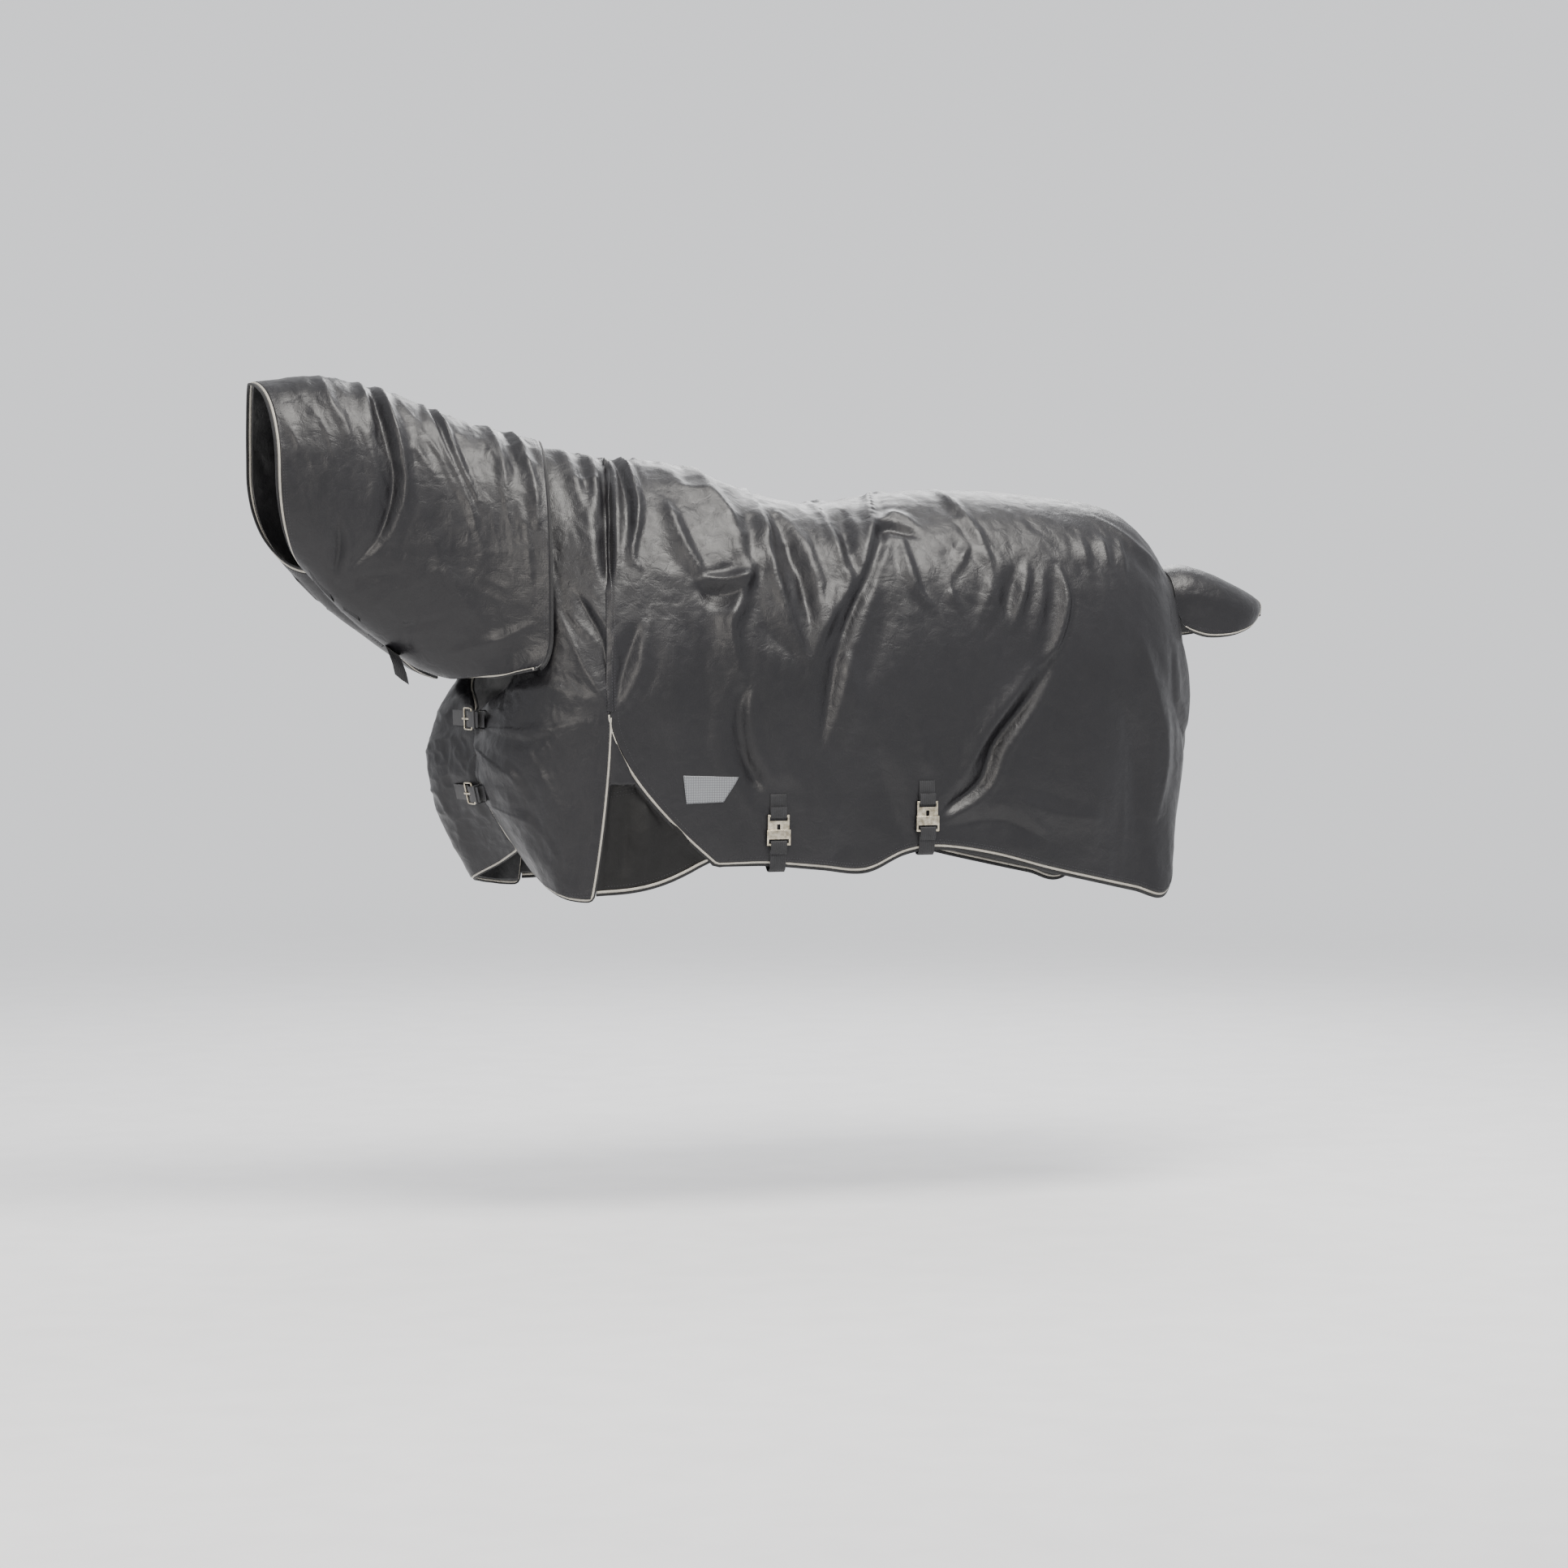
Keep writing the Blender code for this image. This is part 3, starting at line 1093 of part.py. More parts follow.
def hang_on(empty_name, pivot, prefixes):
    """Parents the parts whose names start with a prefix to an empty on their hinge line."""
    empty = bpy.data.objects.new(empty_name, None)
    RUG.objects.link(empty)
    empty.location = pivot
    for made in list(RUG.objects):
        if made is not empty and made.name.startswith(prefixes):
            made.parent = empty
            made.matrix_parent_inverse = Matrix.Translation(-Vector(pivot))


def main():
    """Builds every part of the rug."""
    body = body_grid()
    fronts = {side: front_grid(side) for side in (-1, 1)}
    for side, (_, normals) in fronts.items():
        share_seam(body[1], normals, side)
    padded_layers("body", "body_outer", *body)
    body_edges(*body)
    gussets = []
    for side, name in ((-1, "left"), (1, "right")):
        padded_layers(f"front_{name}", f"front_{name}_outer", *fronts[side])
        front_edges(name, *fronts[side])
        gussets.append(make_gusset(side, name, body, fronts[side]))
    neck = make_neck()
    make_tail_flap()
    side_tree = surface_tree(body[0] + body[1] * CLOTH_TOP)
    front_tree = surface_tree(*[grid + normals * CLOTH_TOP for grid, normals in fronts.values()])
    make_patch(side_tree)
    make_neck_tabs(front_tree, surface_tree(neck[0]))
    for name in CLOSURE_AT:
        make_closure(name, front_tree)
    for name, other in (("front", "rear"), ("rear", "front")):
        make_belly_strap(name, other, side_tree)
    make_throat_straps(surface_tree(neck[0] + neck[1] * CLOTH_TOP))
    middle = neck[0].shape[1] // 2
    hang_on("neck_hinge", neck[0][-1, middle], NECK_PARTS)
    hang_on("tail_flap_hinge", flap_root(), ("tail_flap",))


clear_scene()
RUG = new_collection("turnout_rug")
CUTTERS = new_collection("cutters", shown=False)
MATERIALS = {slot: new_material(slot, *look) for slot, look in COLOURS.items()}
main()
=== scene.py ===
"""The looks of a turnout rug with a neck cover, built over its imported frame.

Metres, in the frame's axes: the horse would face -X, its near (left) side is -Y, and +Z is up.
Each fabric piece repeats the rib tables that gave its CAD solid, at a finer pitch, and is then creased.
"""

import logging
import math
from dataclasses import dataclass, field
from enum import Enum
from typing import Any, Callable, Iterable, Sequence

import bpy
import numpy as np
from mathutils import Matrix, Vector
from mathutils.bvhtree import BVHTree


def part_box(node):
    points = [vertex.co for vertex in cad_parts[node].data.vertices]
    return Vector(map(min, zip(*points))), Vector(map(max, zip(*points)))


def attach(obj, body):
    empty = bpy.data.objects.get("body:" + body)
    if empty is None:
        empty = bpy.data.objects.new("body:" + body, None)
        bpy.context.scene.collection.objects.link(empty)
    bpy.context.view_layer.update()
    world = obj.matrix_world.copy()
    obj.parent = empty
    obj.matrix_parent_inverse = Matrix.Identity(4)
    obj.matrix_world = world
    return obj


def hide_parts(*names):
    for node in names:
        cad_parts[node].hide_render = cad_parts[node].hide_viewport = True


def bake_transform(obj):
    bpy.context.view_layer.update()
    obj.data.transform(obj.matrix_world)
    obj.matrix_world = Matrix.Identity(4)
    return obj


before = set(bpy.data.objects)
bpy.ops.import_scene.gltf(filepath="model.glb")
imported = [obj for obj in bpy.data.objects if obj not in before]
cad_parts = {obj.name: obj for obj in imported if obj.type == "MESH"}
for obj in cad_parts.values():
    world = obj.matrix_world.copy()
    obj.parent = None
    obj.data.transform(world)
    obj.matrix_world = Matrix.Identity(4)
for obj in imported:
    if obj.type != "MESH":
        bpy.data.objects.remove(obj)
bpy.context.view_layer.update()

LOG = logging.getLogger("turnout_rug")
MM = 0.001
Array = np.ndarray


class Body(str, Enum):
    """The moving bodies that pieces ride on."""

    RUG = "rug"
    NECK = "neck_cover"
    FLAP = "tail_flap"


class Side(int, Enum):
    """The two sides of the horse."""

    NEAR = -1
    OFF = 1

    @property
    def word(self) -> str:
        """The side's word in node names."""
        return "left" if self is Side.NEAR else "right"


class Slot(str, Enum):
    """Material slots of the record."""

    OUTER = "outer_cloth"
    PIPING = "piping_cord"
    BINDING = "binding"
    REFLECTOR = "reflector"


# ---------------------------------------------------------------------------------------------------
# Small maths

HASH_STEPS = (73856093, 19349663, 83492791, 2654435761)
HASH_STIRS = (1274126177, 2246822519)
WHOLE = 0xFFFFFFFF


def unit(vectors: Array) -> Array:
    """Vectors brought to length 1.

    Args:
        vectors: An array whose last axis holds a vector.

    Returns:
        The same array with every vector at length 1.
    """
    return vectors / np.maximum(np.linalg.norm(vectors, axis=-1, keepdims=True), 1e-12)


def smooth_step(values: Array, low: float, high: float) -> Array:
    """An ease from 0 at low to 1 at high.

    Args:
        values: Where to read the ease.
        low: Where it leaves 0.
        high: Where it reaches 1; may be below low.

    Returns:
        Shares from 0 to 1.
    """
    share = np.clip((values - low) / (high - low), 0.0, 1.0)
    return share * share * (3 - 2 * share)


def hashed(cells: Array, seed: int) -> Array:
    """A fixed number from -1 to 1 for each lattice cell.

    Args:
        cells: Integer cells, their three numbers on the last axis.
        seed: Which set of numbers to give.

    Returns:
        One number for each cell.
    """
    mixed = (cells @ np.array(HASH_STEPS[:3]) + seed * HASH_STEPS[3]) & WHOLE
    mixed = ((mixed ^ (mixed >> 13)) * HASH_STIRS[0]) & WHOLE
    mixed = ((mixed ^ (mixed >> 15)) * HASH_STIRS[1]) & WHOLE
    return ((mixed ^ (mixed >> 16)) & 0xFFFF) / 32767.5 - 1.0


def noise(places: Array, seed: int) -> Array:
    """Smooth value noise, about one bump to each unit.

    Args:
        places: Points with three numbers on the last axis.
        seed: Which noise.

    Returns:
        Values from -1 to 1.
    """
    cell = np.floor(places).astype(np.int64)
    part = places - cell
    ease = part**3 * (part * (part * 6 - 15) + 10)
    total = np.zeros(places.shape[:-1])
    for corner in np.ndindex(2, 2, 2):
        corner_array = np.array(corner)
        weight = np.prod(np.where(corner_array == 1, ease, 1 - ease), axis=-1)
        total += weight * hashed(cell + corner_array, seed)
    return total


def creased(places: Array, seed: int, edge: float = 0.06) -> Array:
    """Noise folded at zero into sharp creases, as crumpled cloth has.

    Args:
        places: Points with three numbers on the last axis.
        seed: Which noise.
        edge: How rounded the creases are.

    Returns:
        Values from about 0 on a crease up to about 1.
    """
    return np.sqrt(noise(places, seed) ** 2 + edge**2)


def spline_at(values: Array, at: Array) -> Array:
    """Catmull-Rom curves through rows of values.

    Args:
        values: Rows of numbers.
        at: Places counted in rows.

    Returns:
        One row of numbers for each place.
    """
    values = np.asarray(values, float)
    last = len(values) - 1
    padded = np.vstack([2 * values[0] - values[1], values, 2 * values[-1] - values[-2]])
    low = np.clip(np.floor(at).astype(int), 0, last - 1)
    share = (at - low)[:, None]
    p0, p1, p2, p3 = (padded[low + k] for k in range(4))
    return 0.5 * (
        2 * p1
        + (p2 - p0) * share
        + (2 * p0 - 5 * p1 + 4 * p2 - p3) * share**2
        + (3 * (p1 - p2) - p0 + p3) * share**3
    )


def evenly(line: Array, count: int) -> Array:
    """A polyline laid out again with even steps.

    Args:
        line: Points along it.
        count: How many points to give back.

    Returns:
        The new points, ends kept.
    """
    run = np.concatenate([[0.0], np.cumsum(np.linalg.norm(np.diff(line, axis=0), axis=1))])
    places = np.linspace(0.0, run[-1], count)
    return np.stack([np.interp(places, run, line[:, k]) for k in range(line.shape[1])], axis=1)


def softened(line: Array, rounds: int) -> Array:
    """A polyline with its corners eased and its ends kept.

    Args:
        line: Points along it.
        rounds: How often each point moves to its neighbours' middle.

    Returns:
        The eased points.
    """
    line = line.copy()
    for _ in range(rounds):
        line[1:-1] = 0.5 * line[1:-1] + 0.25 * (line[:-2] + line[2:])
    return line


def everywhere(value: float) -> Callable[[Array], Array]:
    """One value for every point.

    Args:
        value: The value.

    Returns:
        A function from points to values.
    """

    def give(points: Array) -> Array:
        """The value at each point."""
        return np.full(len(points), value)

    return give


# ---------------------------------------------------------------------------------------------------
# The shapes that the CAD solids were lofted from

WIDEST_AT = 0.62
HEM_EASE = 1.6
BODY_SCALE = np.array([1.13, 0.31, 0.885])
NECK_SCALE = np.array([0.86, 0.205, 0.885])
FLAP_SCALE = np.array([0.235, 0.100, 1.0])
CHEST_LEAD = 0.050
SEAM_GAP = 0.7 * MM
CLOTH = 8.0 * MM  # lining, wadding and outer cloth together
THIN_CLOTH = 3.5 * MM
EDGE_OFFSET = 3.7 * MM
GUSSET_TOP = -0.500  # height at which the gussets start
FLAP_GAP = 2 * EDGE_OFFSET + CLOTH - 0.4 * MM  # from the body's last rib to the flap's root

CREST_REACH = 0.115  # a fold that starts this near the middle plane runs over the top
TOP_SHARE = 0.12  # of its height that it keeps on the middle plane
FOLD_DEPTH = 1.6  # scales every fold
FOLD_SPAN = 6  # how far a fold reaches, in its widths
FOLD_ROUND = 0.35  # how rounded its crest is
RIM_AT, RIM_SPREAD, RIM_SHARE = 2.6, 1.2, 0.22  # the shallow trough along each side of it
FADE_POWER = 0.55  # how late it fades towards its ends

# Top (x, y, z), widest (x, y, z), hem (x, y, z), roundness and share of the chest's lead.
BODY_RIBS = (
    (-0.106, 0, 0.012, -0.181, 0.920, -0.565, 0.020, 0.920, -0.904, 1.75, 0),
    (-0.030, 0, 0.006, -0.090, 0.945, -0.555, 0.066, 0.942, -0.902, 1.85, 0),
    (0.071, 0, -0.017, 0.027, 0.965, -0.555, 0.120, 0.952, -0.902, 2.0, 0),
    (0.168, 0, -0.066, 0.150, 0.985, -0.555, 0.208, 0.968, -0.912, 2.1, 0),
    (0.265, 0, -0.084, 0.265, 1.000, -0.565, 0.296, 0.974, -0.922, 2.15, 0),
    (0.381, 0, -0.072, 0.381, 1.000, -0.565, 0.372, 0.984, -0.882, 2.2, 0),
    (0.496, 0, -0.058, 0.496, 0.985, -0.555, 0.442, 0.984, -0.872, 2.25, 0),
    (0.611, 0, -0.056, 0.611, 0.962, -0.530, 0.549, 0.968, -0.893, 2.3, 0),
    (0.726, 0, -0.064, 0.726, 0.942, -0.520, 0.659, 0.952, -0.930, 2.3, 0),
    (0.814, 0, -0.079, 0.823, 0.903, -0.520, 0.761, 0.929, -0.960, 2.3, 0),
    (0.885, 0, -0.120, 0.912, 0.800, -0.540, 0.841, 0.890, -0.983, 2.3, 0),
    (0.938, 0, -0.188, 0.970, 0.620, -0.560, 0.900, 0.830, -1.000, 2.3, 0),
    (0.968, 0, -0.228, 0.995, 0.450, -0.575, 0.945, 0.640, -0.905, 2.25, 0),
    (0.982, 0, -0.243, 1.004, 0.322, -0.588, 0.973, 0.420, -0.836, 2.2, 0),
)
FRONT_RIBS = (
    (-0.348, 0.028, -0.572, -0.347, 0.028, -0.712, -0.277, 0.028, -0.885, 2.0, 0.0),
    (-0.338, 0.177, -0.545, -0.362, 0.274, -0.690, -0.276, 0.258, -0.915, 1.6, 0.30),
    (-0.318, 0.371, -0.508, -0.350, 0.532, -0.678, -0.268, 0.516, -0.949, 1.4, 1.0),
    (-0.300, 0.474, -0.420, -0.308, 0.726, -0.655, -0.257, 0.680, -0.965, 1.15, 0.6),
    (-0.284, 0.460, -0.265, -0.272, 0.820, -0.620, -0.243, 0.745, -0.974, 1.12, 0.25),
    (-0.278, 0.330, -0.075, -0.242, 0.860, -0.600, -0.232, 0.790, -0.978, 1.2, 0.1),
    (-0.274, 0.000, 0.040, -0.216, 0.885, -0.585, -0.221, 0.820, -0.980, 1.4, 0.03),
    (-0.106, 0.000, 0.012, -0.181, 0.920, -0.565, -0.209, 0.845, -0.981, 1.75, 0.0),
)
NECK_RIBS = (
    (-1.000, 0, 0.180, -0.972, 0.620, -0.011, -0.850, 0.044, -0.241, 2.1, 0),
    (-0.866, 0, 0.191, -0.878, 0.630, -0.034, -0.762, 0.044, -0.337, 2.1, 0),
    (-0.762, 0, 0.177, -0.791, 0.644, -0.068, -0.698, 0.044, -0.390, 2.1, 0),
    (-0.651, 0, 0.150, -0.698, 0.680, -0.113, -0.634, 0.070, -0.438, 2.1, 0),
    (-0.530, 0, 0.108, -0.581, 0.760, -0.190, -0.566, 0.340, -0.470, 2.1, 0),
    (-0.427, 0, 0.080, -0.458, 0.920, -0.290, -0.484, 0.820, -0.476, 2.1, 0),
    (-0.317, 0, 0.056, -0.360, 1.110, -0.375, -0.402, 1.200, -0.462, 2.1, 0),
)
FLAP_RIBS = (
    (0.00, 0, 0.000, 0.02, 0.86, -0.070, 0.10, 0.94, -0.118, 2.2, 0),
    (0.18, 0, 0.008, 0.18, 0.94, -0.068, 0.18, 1.00, -0.128, 2.2, 0),
    (0.45, 0, -0.006, 0.43, 1.00, -0.078, 0.34, 1.06, -0.138, 2.2, 0),
    (0.72, 0, -0.032, 0.70, 0.94, -0.094, 0.59, 1.00, -0.135, 2.2, 0),
    (0.90, 0, -0.052, 0.87, 0.72, -0.094, 0.80, 0.78, -0.120, 2.2, 0),
    (1.00, 0, -0.066, 0.98, 0.38, -0.082, 0.96, 0.46, -0.094, 2.2, 0),
)


class Tuck(Enum):
    """How a rib goes on below its widest place."""

    HEM = "hem"  # eases out or in to a hem that hangs
    THROAT = "throat"  # turns under the neck to the throat


@dataclass(frozen=True)
class Ribs:
    """A table of ribs, and how each is drawn."""

    table: tuple
    scale: Array
    tuck: Tuck = Tuck.HEM
    origin: tuple[float, float, float] = (0.0, 0.0, 0.0)

    @property
    def last(self) -> int:
        """The last rib's number."""
        return len(self.table) - 1

    def line(self, along: float, side: Side, fine: int = 360) -> Array:
        """One rib from its top down to its low end.

        Args:
            along: Which rib, counted in ribs.
            side: The side it hangs on.
            fine: How many points.

        Returns:
            Points down the rib.
        """
        row = spline_at(np.array(self.table), np.array([along]))[0]
        top, wide, low = (row[k : k + 3] * self.scale for k in (0, 3, 6))
        roundness, lead = row[9], row[10]
        down = np.linspace(0.0, 1.0, fine)[:, None]
        turn = 0.5 if self.tuck is Tuck.THROAT else WIDEST_AT
        angle = np.pi / 2 * np.clip(down / turn, 0, 1)
        across, fall = np.sin(angle) ** (2 / roundness), 1 - np.cos(angle) ** (2 / roundness)
        upper = top + (wide - top) * np.hstack([across, across, fall])
        share = np.clip((down - turn) / (1 - turn), 0, 1)
        if self.tuck is Tuck.THROAT:
            angle = np.pi / 2 * share
            across, fall = 1 - np.cos(angle) ** (2 / roundness), np.sin(angle) ** (2 / roundness)
            lower = wide + (low - wide) * np.hstack([across, across, fall])
        else:
            ease = share**HEM_EASE
            lower = wide + (low - wide) * np.hstack([ease, ease, share])
        points = np.where(down <= turn, upper, lower)
        if side is Side.OFF:
            grown = np.sin(np.pi / 2 * np.minimum(1.0, down[:, 0] / WIDEST_AT + 0.25))
            points[:, 0] -= CHEST_LEAD * max(0.0, lead) * grown
        points[:, 1] = int(side) * points[:, 1]
        return points + np.array(self.origin)


@dataclass
class Grid:
    """A fine grid over a sheet: columns along the horse, rows round it."""

    points: Array
    normals: Array
    spread: Array  # along and down, in metres, for the weave

    @classmethod
    def over(cls, lines: Sequence[Array]) -> "Grid":
        """A grid from its columns, with its normals away from the horse's middle plane.

        Args:
            lines: Points down each column, all of one count.

        Returns:
            The grid.
        """
        points = np.array(lines)
        normals = unit(np.cross(np.gradient(points, axis=0), np.gradient(points, axis=1)))
        normals *= np.sign(np.sum(normals[..., 1] * points[..., 1]))
        steps_down = np.linalg.norm(np.diff(points, axis=1), axis=2)
        steps_along = np.linalg.norm(np.diff(points, axis=0), axis=2).mean(axis=1)
        down = np.concatenate([np.zeros((len(points), 1)), np.cumsum(steps_down, axis=1)], axis=1)
        down -= down[:, points.shape[1] // 2][:, None]
        along = np.concatenate([[0.0], np.cumsum(steps_along)])
        spread = np.stack([np.broadcast_to(along[:, None], down.shape), down], axis=2)
        return cls(points, normals, spread)


def both_sides(ribs: Ribs, places: Iterable[float], half: int) -> Grid:
    """A grid over both sides of a piece that lies across the back.

    Args:
        ribs: Its ribs.
        places: The columns, counted in ribs.
        half: Rows on each side, the top one shared.

    Returns:
        The grid, from the left low edge over the top to the right.
    """
    lines = []
    for place in places:
        left = evenly(ribs.line(place, Side.NEAR), half)
        right = evenly(ribs.line(place, Side.OFF), half)
        lines.append(np.vstack([left[::-1], right[1:]]))
    return Grid.over(lines)


# ---------------------------------------------------------------------------------------------------
# Creases


@dataclass(frozen=True)
class Fold:
    """One crease along a line of (x, z) places. Height, negative into the cloth, and width are in mm."""

    path: tuple
    height: float
    width: float
    skew: float = 0.25

    def lay(
        self, points: Array, normals: Array, tree: "Lookup", side: Side, shift: "Shift"
    ) -> tuple[Array, Array]:
        """The lift that the crease gives to points.

        Args:
            points: Points of the sheet, (n, 3).
            normals: Their normals.
            tree: Finds the sheet's point at an (x, z) place.
            side: The side the crease is on.
            shift: How it is moved and scaled there.

        Returns:
            The indices of the points that it reaches, and their lifts in metres.
        """
        line = np.array([tree.point(x + shift.x, z + shift.z, side) for x, z in self.path])
        over_top = abs(line[0, 1]) < CREST_REACH
        if over_top:
            line = np.vstack([tree.crest(line[0, 0]), line])
        line = spline_at(line, np.linspace(0, len(line) - 1, 6 * (len(line) - 1) + 1))
        width = self.width * MM * shift.width
        reach = FOLD_SPAN * width
        low, high = line.min(axis=0) - reach, line.max(axis=0) + reach
        near = np.nonzero(np.all((points > low) & (points < high), axis=1))[0]
        if not len(near):
            return near, np.zeros(0)
        spots = points[near]
        start, step = line[:-1], np.diff(line, axis=0)
        length = np.linalg.norm(step, axis=1)
        gap = spots[:, None, :] - start[None]
        share = np.clip(np.einsum("psk,sk->ps", gap, step) / length**2, 0, 1)
        apart = gap - share[..., None] * step[None]
        away = np.linalg.norm(apart, axis=2)
        best = np.argmin(away, axis=1)
        rows = np.arange(len(spots))
        distance = away[rows, best]
        before = np.concatenate([[0], np.cumsum(length)])[best]
        run = (before + share[rows, best] * length[best]) / length.sum()
        across = np.cross(step[best], normals[near])
        turned = np.sign(np.einsum("pk,pk->p", across, apart[rows, best]))
        wide = width * (0.7 + 0.6 * np.sin(np.pi * run)) * (1 + self.skew * turned)
        profile = np.exp(FOLD_ROUND - np.sqrt((distance / wide) ** 2 + FOLD_ROUND**2))
        rim = np.exp(-(((distance / wide) - RIM_AT) ** 2) / RIM_SPREAD)
        fade = np.sin(np.pi * np.clip(run, 0.02, 0.98))
        if over_top:
            fade = np.cos(np.pi / 2 * run * 0.98) * np.minimum(TOP_SHARE + 3 * run, 1)
        side_share = smooth_step(spots[:, 1] * int(side), -0.03, 0.02)
        depth = self.height * FOLD_DEPTH * MM * shift.height
        return near, depth * side_share * fade**FADE_POWER * (profile - RIM_SHARE * rim)


@dataclass(frozen=True)
class Shift:
    """How a table of folds is moved and scaled where it is used again."""

    x: float = 0.0
    z: float = 0.0
    height: float = 1.0
    width: float = 1.0


class Lookup:
    """Finds the place on a sheet that has a given (x, z) on one side."""

    def __init__(self, points: Array) -> None:
        """Keeps the sheet's points.

        Args:
            points: (n, 3).
        """
        self.points = points

    def point(self, x: float, z: float, side: Side) -> Array:
        """The nearest point of the sheet on one side.

        Args:
            x: Along the horse.
            z: Height.
            side: Which side.

        Returns:
            The point.
        """
        spare = np.where(self.points[:, 1] * int(side) >= -1e-6, 0.0, 10.0)
        gap = np.hypot(self.points[:, 0] - x, self.points[:, 2] - z) + spare
        return self.points[int(np.argmin(gap))]

    def crest(self, x: float) -> Array:
        """The sheet's top point at a place along the horse.

        Args:
            x: Along the horse.

        Returns:
            The point.
        """
        gap = np.abs(self.points[:, 0] - x) + 2 * np.abs(self.points[:, 1])
        return self.points[int(np.argmin(gap))]


NECK_FOLDS = (
    Fold(((-0.624, 0.108), (-0.612, 0.028), (-0.609, -0.043), (-0.634, -0.134), (-0.687, -0.199)), -11, 9),
    Fold(((-0.605, 0.1), (-0.589, 0.021), (-0.586, -0.061), (-0.605, -0.149)), 7, 11),
    Fold(((-0.721, -0.109), (-0.715, -0.162), (-0.72, -0.215)), -6, 8),
    Fold(((-0.491, 0.089), (-0.469, 0.005), (-0.439, -0.077)), 7, 6),
    Fold(((-0.515, 0.096), (-0.491, 0.018), (-0.458, -0.072), (-0.441, -0.143)), 6, 6),
    Fold(((-0.502, 0.089), (-0.483, 0.007), (-0.448, -0.072)), -5, 6),
    Fold(((-0.727, 0.122), (-0.701, 0.07), (-0.694, 0.002)), 4, 8),
    Fold(((-0.649, 0.118), (-0.639, 0.061)), 5, 7),
    Fold(((-0.383, 0.057), (-0.381, -0.011), (-0.378, -0.106)), 5, 9),
    Fold(((-0.33, 0.049), (-0.323, -0.029), (-0.323, -0.125)), 6, 8),
    Fold(((-0.348, 0.059), (-0.346, -0.025)), -5, 8),
    Fold(((-0.713, -0.242), (-0.662, -0.224), (-0.587, -0.208)), -6, 7),
    Fold(((-0.634, -0.328), (-0.575, -0.318), (-0.501, -0.303)), -6, 7),
    Fold(((-0.687, -0.269), (-0.611, -0.253), (-0.52, -0.205)), 3, 10),
    Fold(((-0.552, -0.106), (-0.489, -0.239), (-0.409, -0.351)), 4, 16),
    Fold(((-0.482, -0.369), (-0.409, -0.351), (-0.345, -0.319)), 3, 9),
)
FRONT_FOLDS = (
    Fold(((-0.136, -0.006), (-0.161, -0.077), (-0.177, -0.155), (-0.186, -0.221)), -12, 8),
    Fold(((-0.216, 0.029), (-0.21, -0.029), (-0.208, -0.107)), 5, 7),
    Fold(((-0.165, 0.014), (-0.172, -0.04), (-0.181, -0.125)), 5, 6),
    Fold(((-0.195, 0.022), (-0.19, -0.06)), -5, 7),
    Fold(((-0.158, -0.042), (-0.183, -0.137), (-0.191, -0.236), (-0.2, -0.368)), -5, 7),
    Fold(((-0.171, -0.125), (-0.188, -0.235)), -7, 7),
    Fold(((-0.248, -0.263), (-0.214, -0.35), (-0.204, -0.448)), -7, 8),
    Fold(((-0.283, -0.303), (-0.242, -0.415), (-0.206, -0.482)), 4, 9),
    Fold(((-0.396, -0.522), (-0.365, -0.553), (-0.314, -0.541)), -5, 7),
    Fold(((-0.402, -0.563), (-0.378, -0.621), (-0.35, -0.676)), 7, 9),
    Fold(((-0.342, -0.597), (-0.297, -0.691), (-0.28, -0.789)), 4, 14),
    Fold(((-0.395, -0.533), (-0.34, -0.531), (-0.252, -0.514)), 4, 8),
    Fold(((-0.394, -0.654), (-0.35, -0.712), (-0.293, -0.79)), 4, 8),
    Fold(((-0.355, -0.451), (-0.293, -0.449), (-0.221, -0.481)), 3, 10),
)
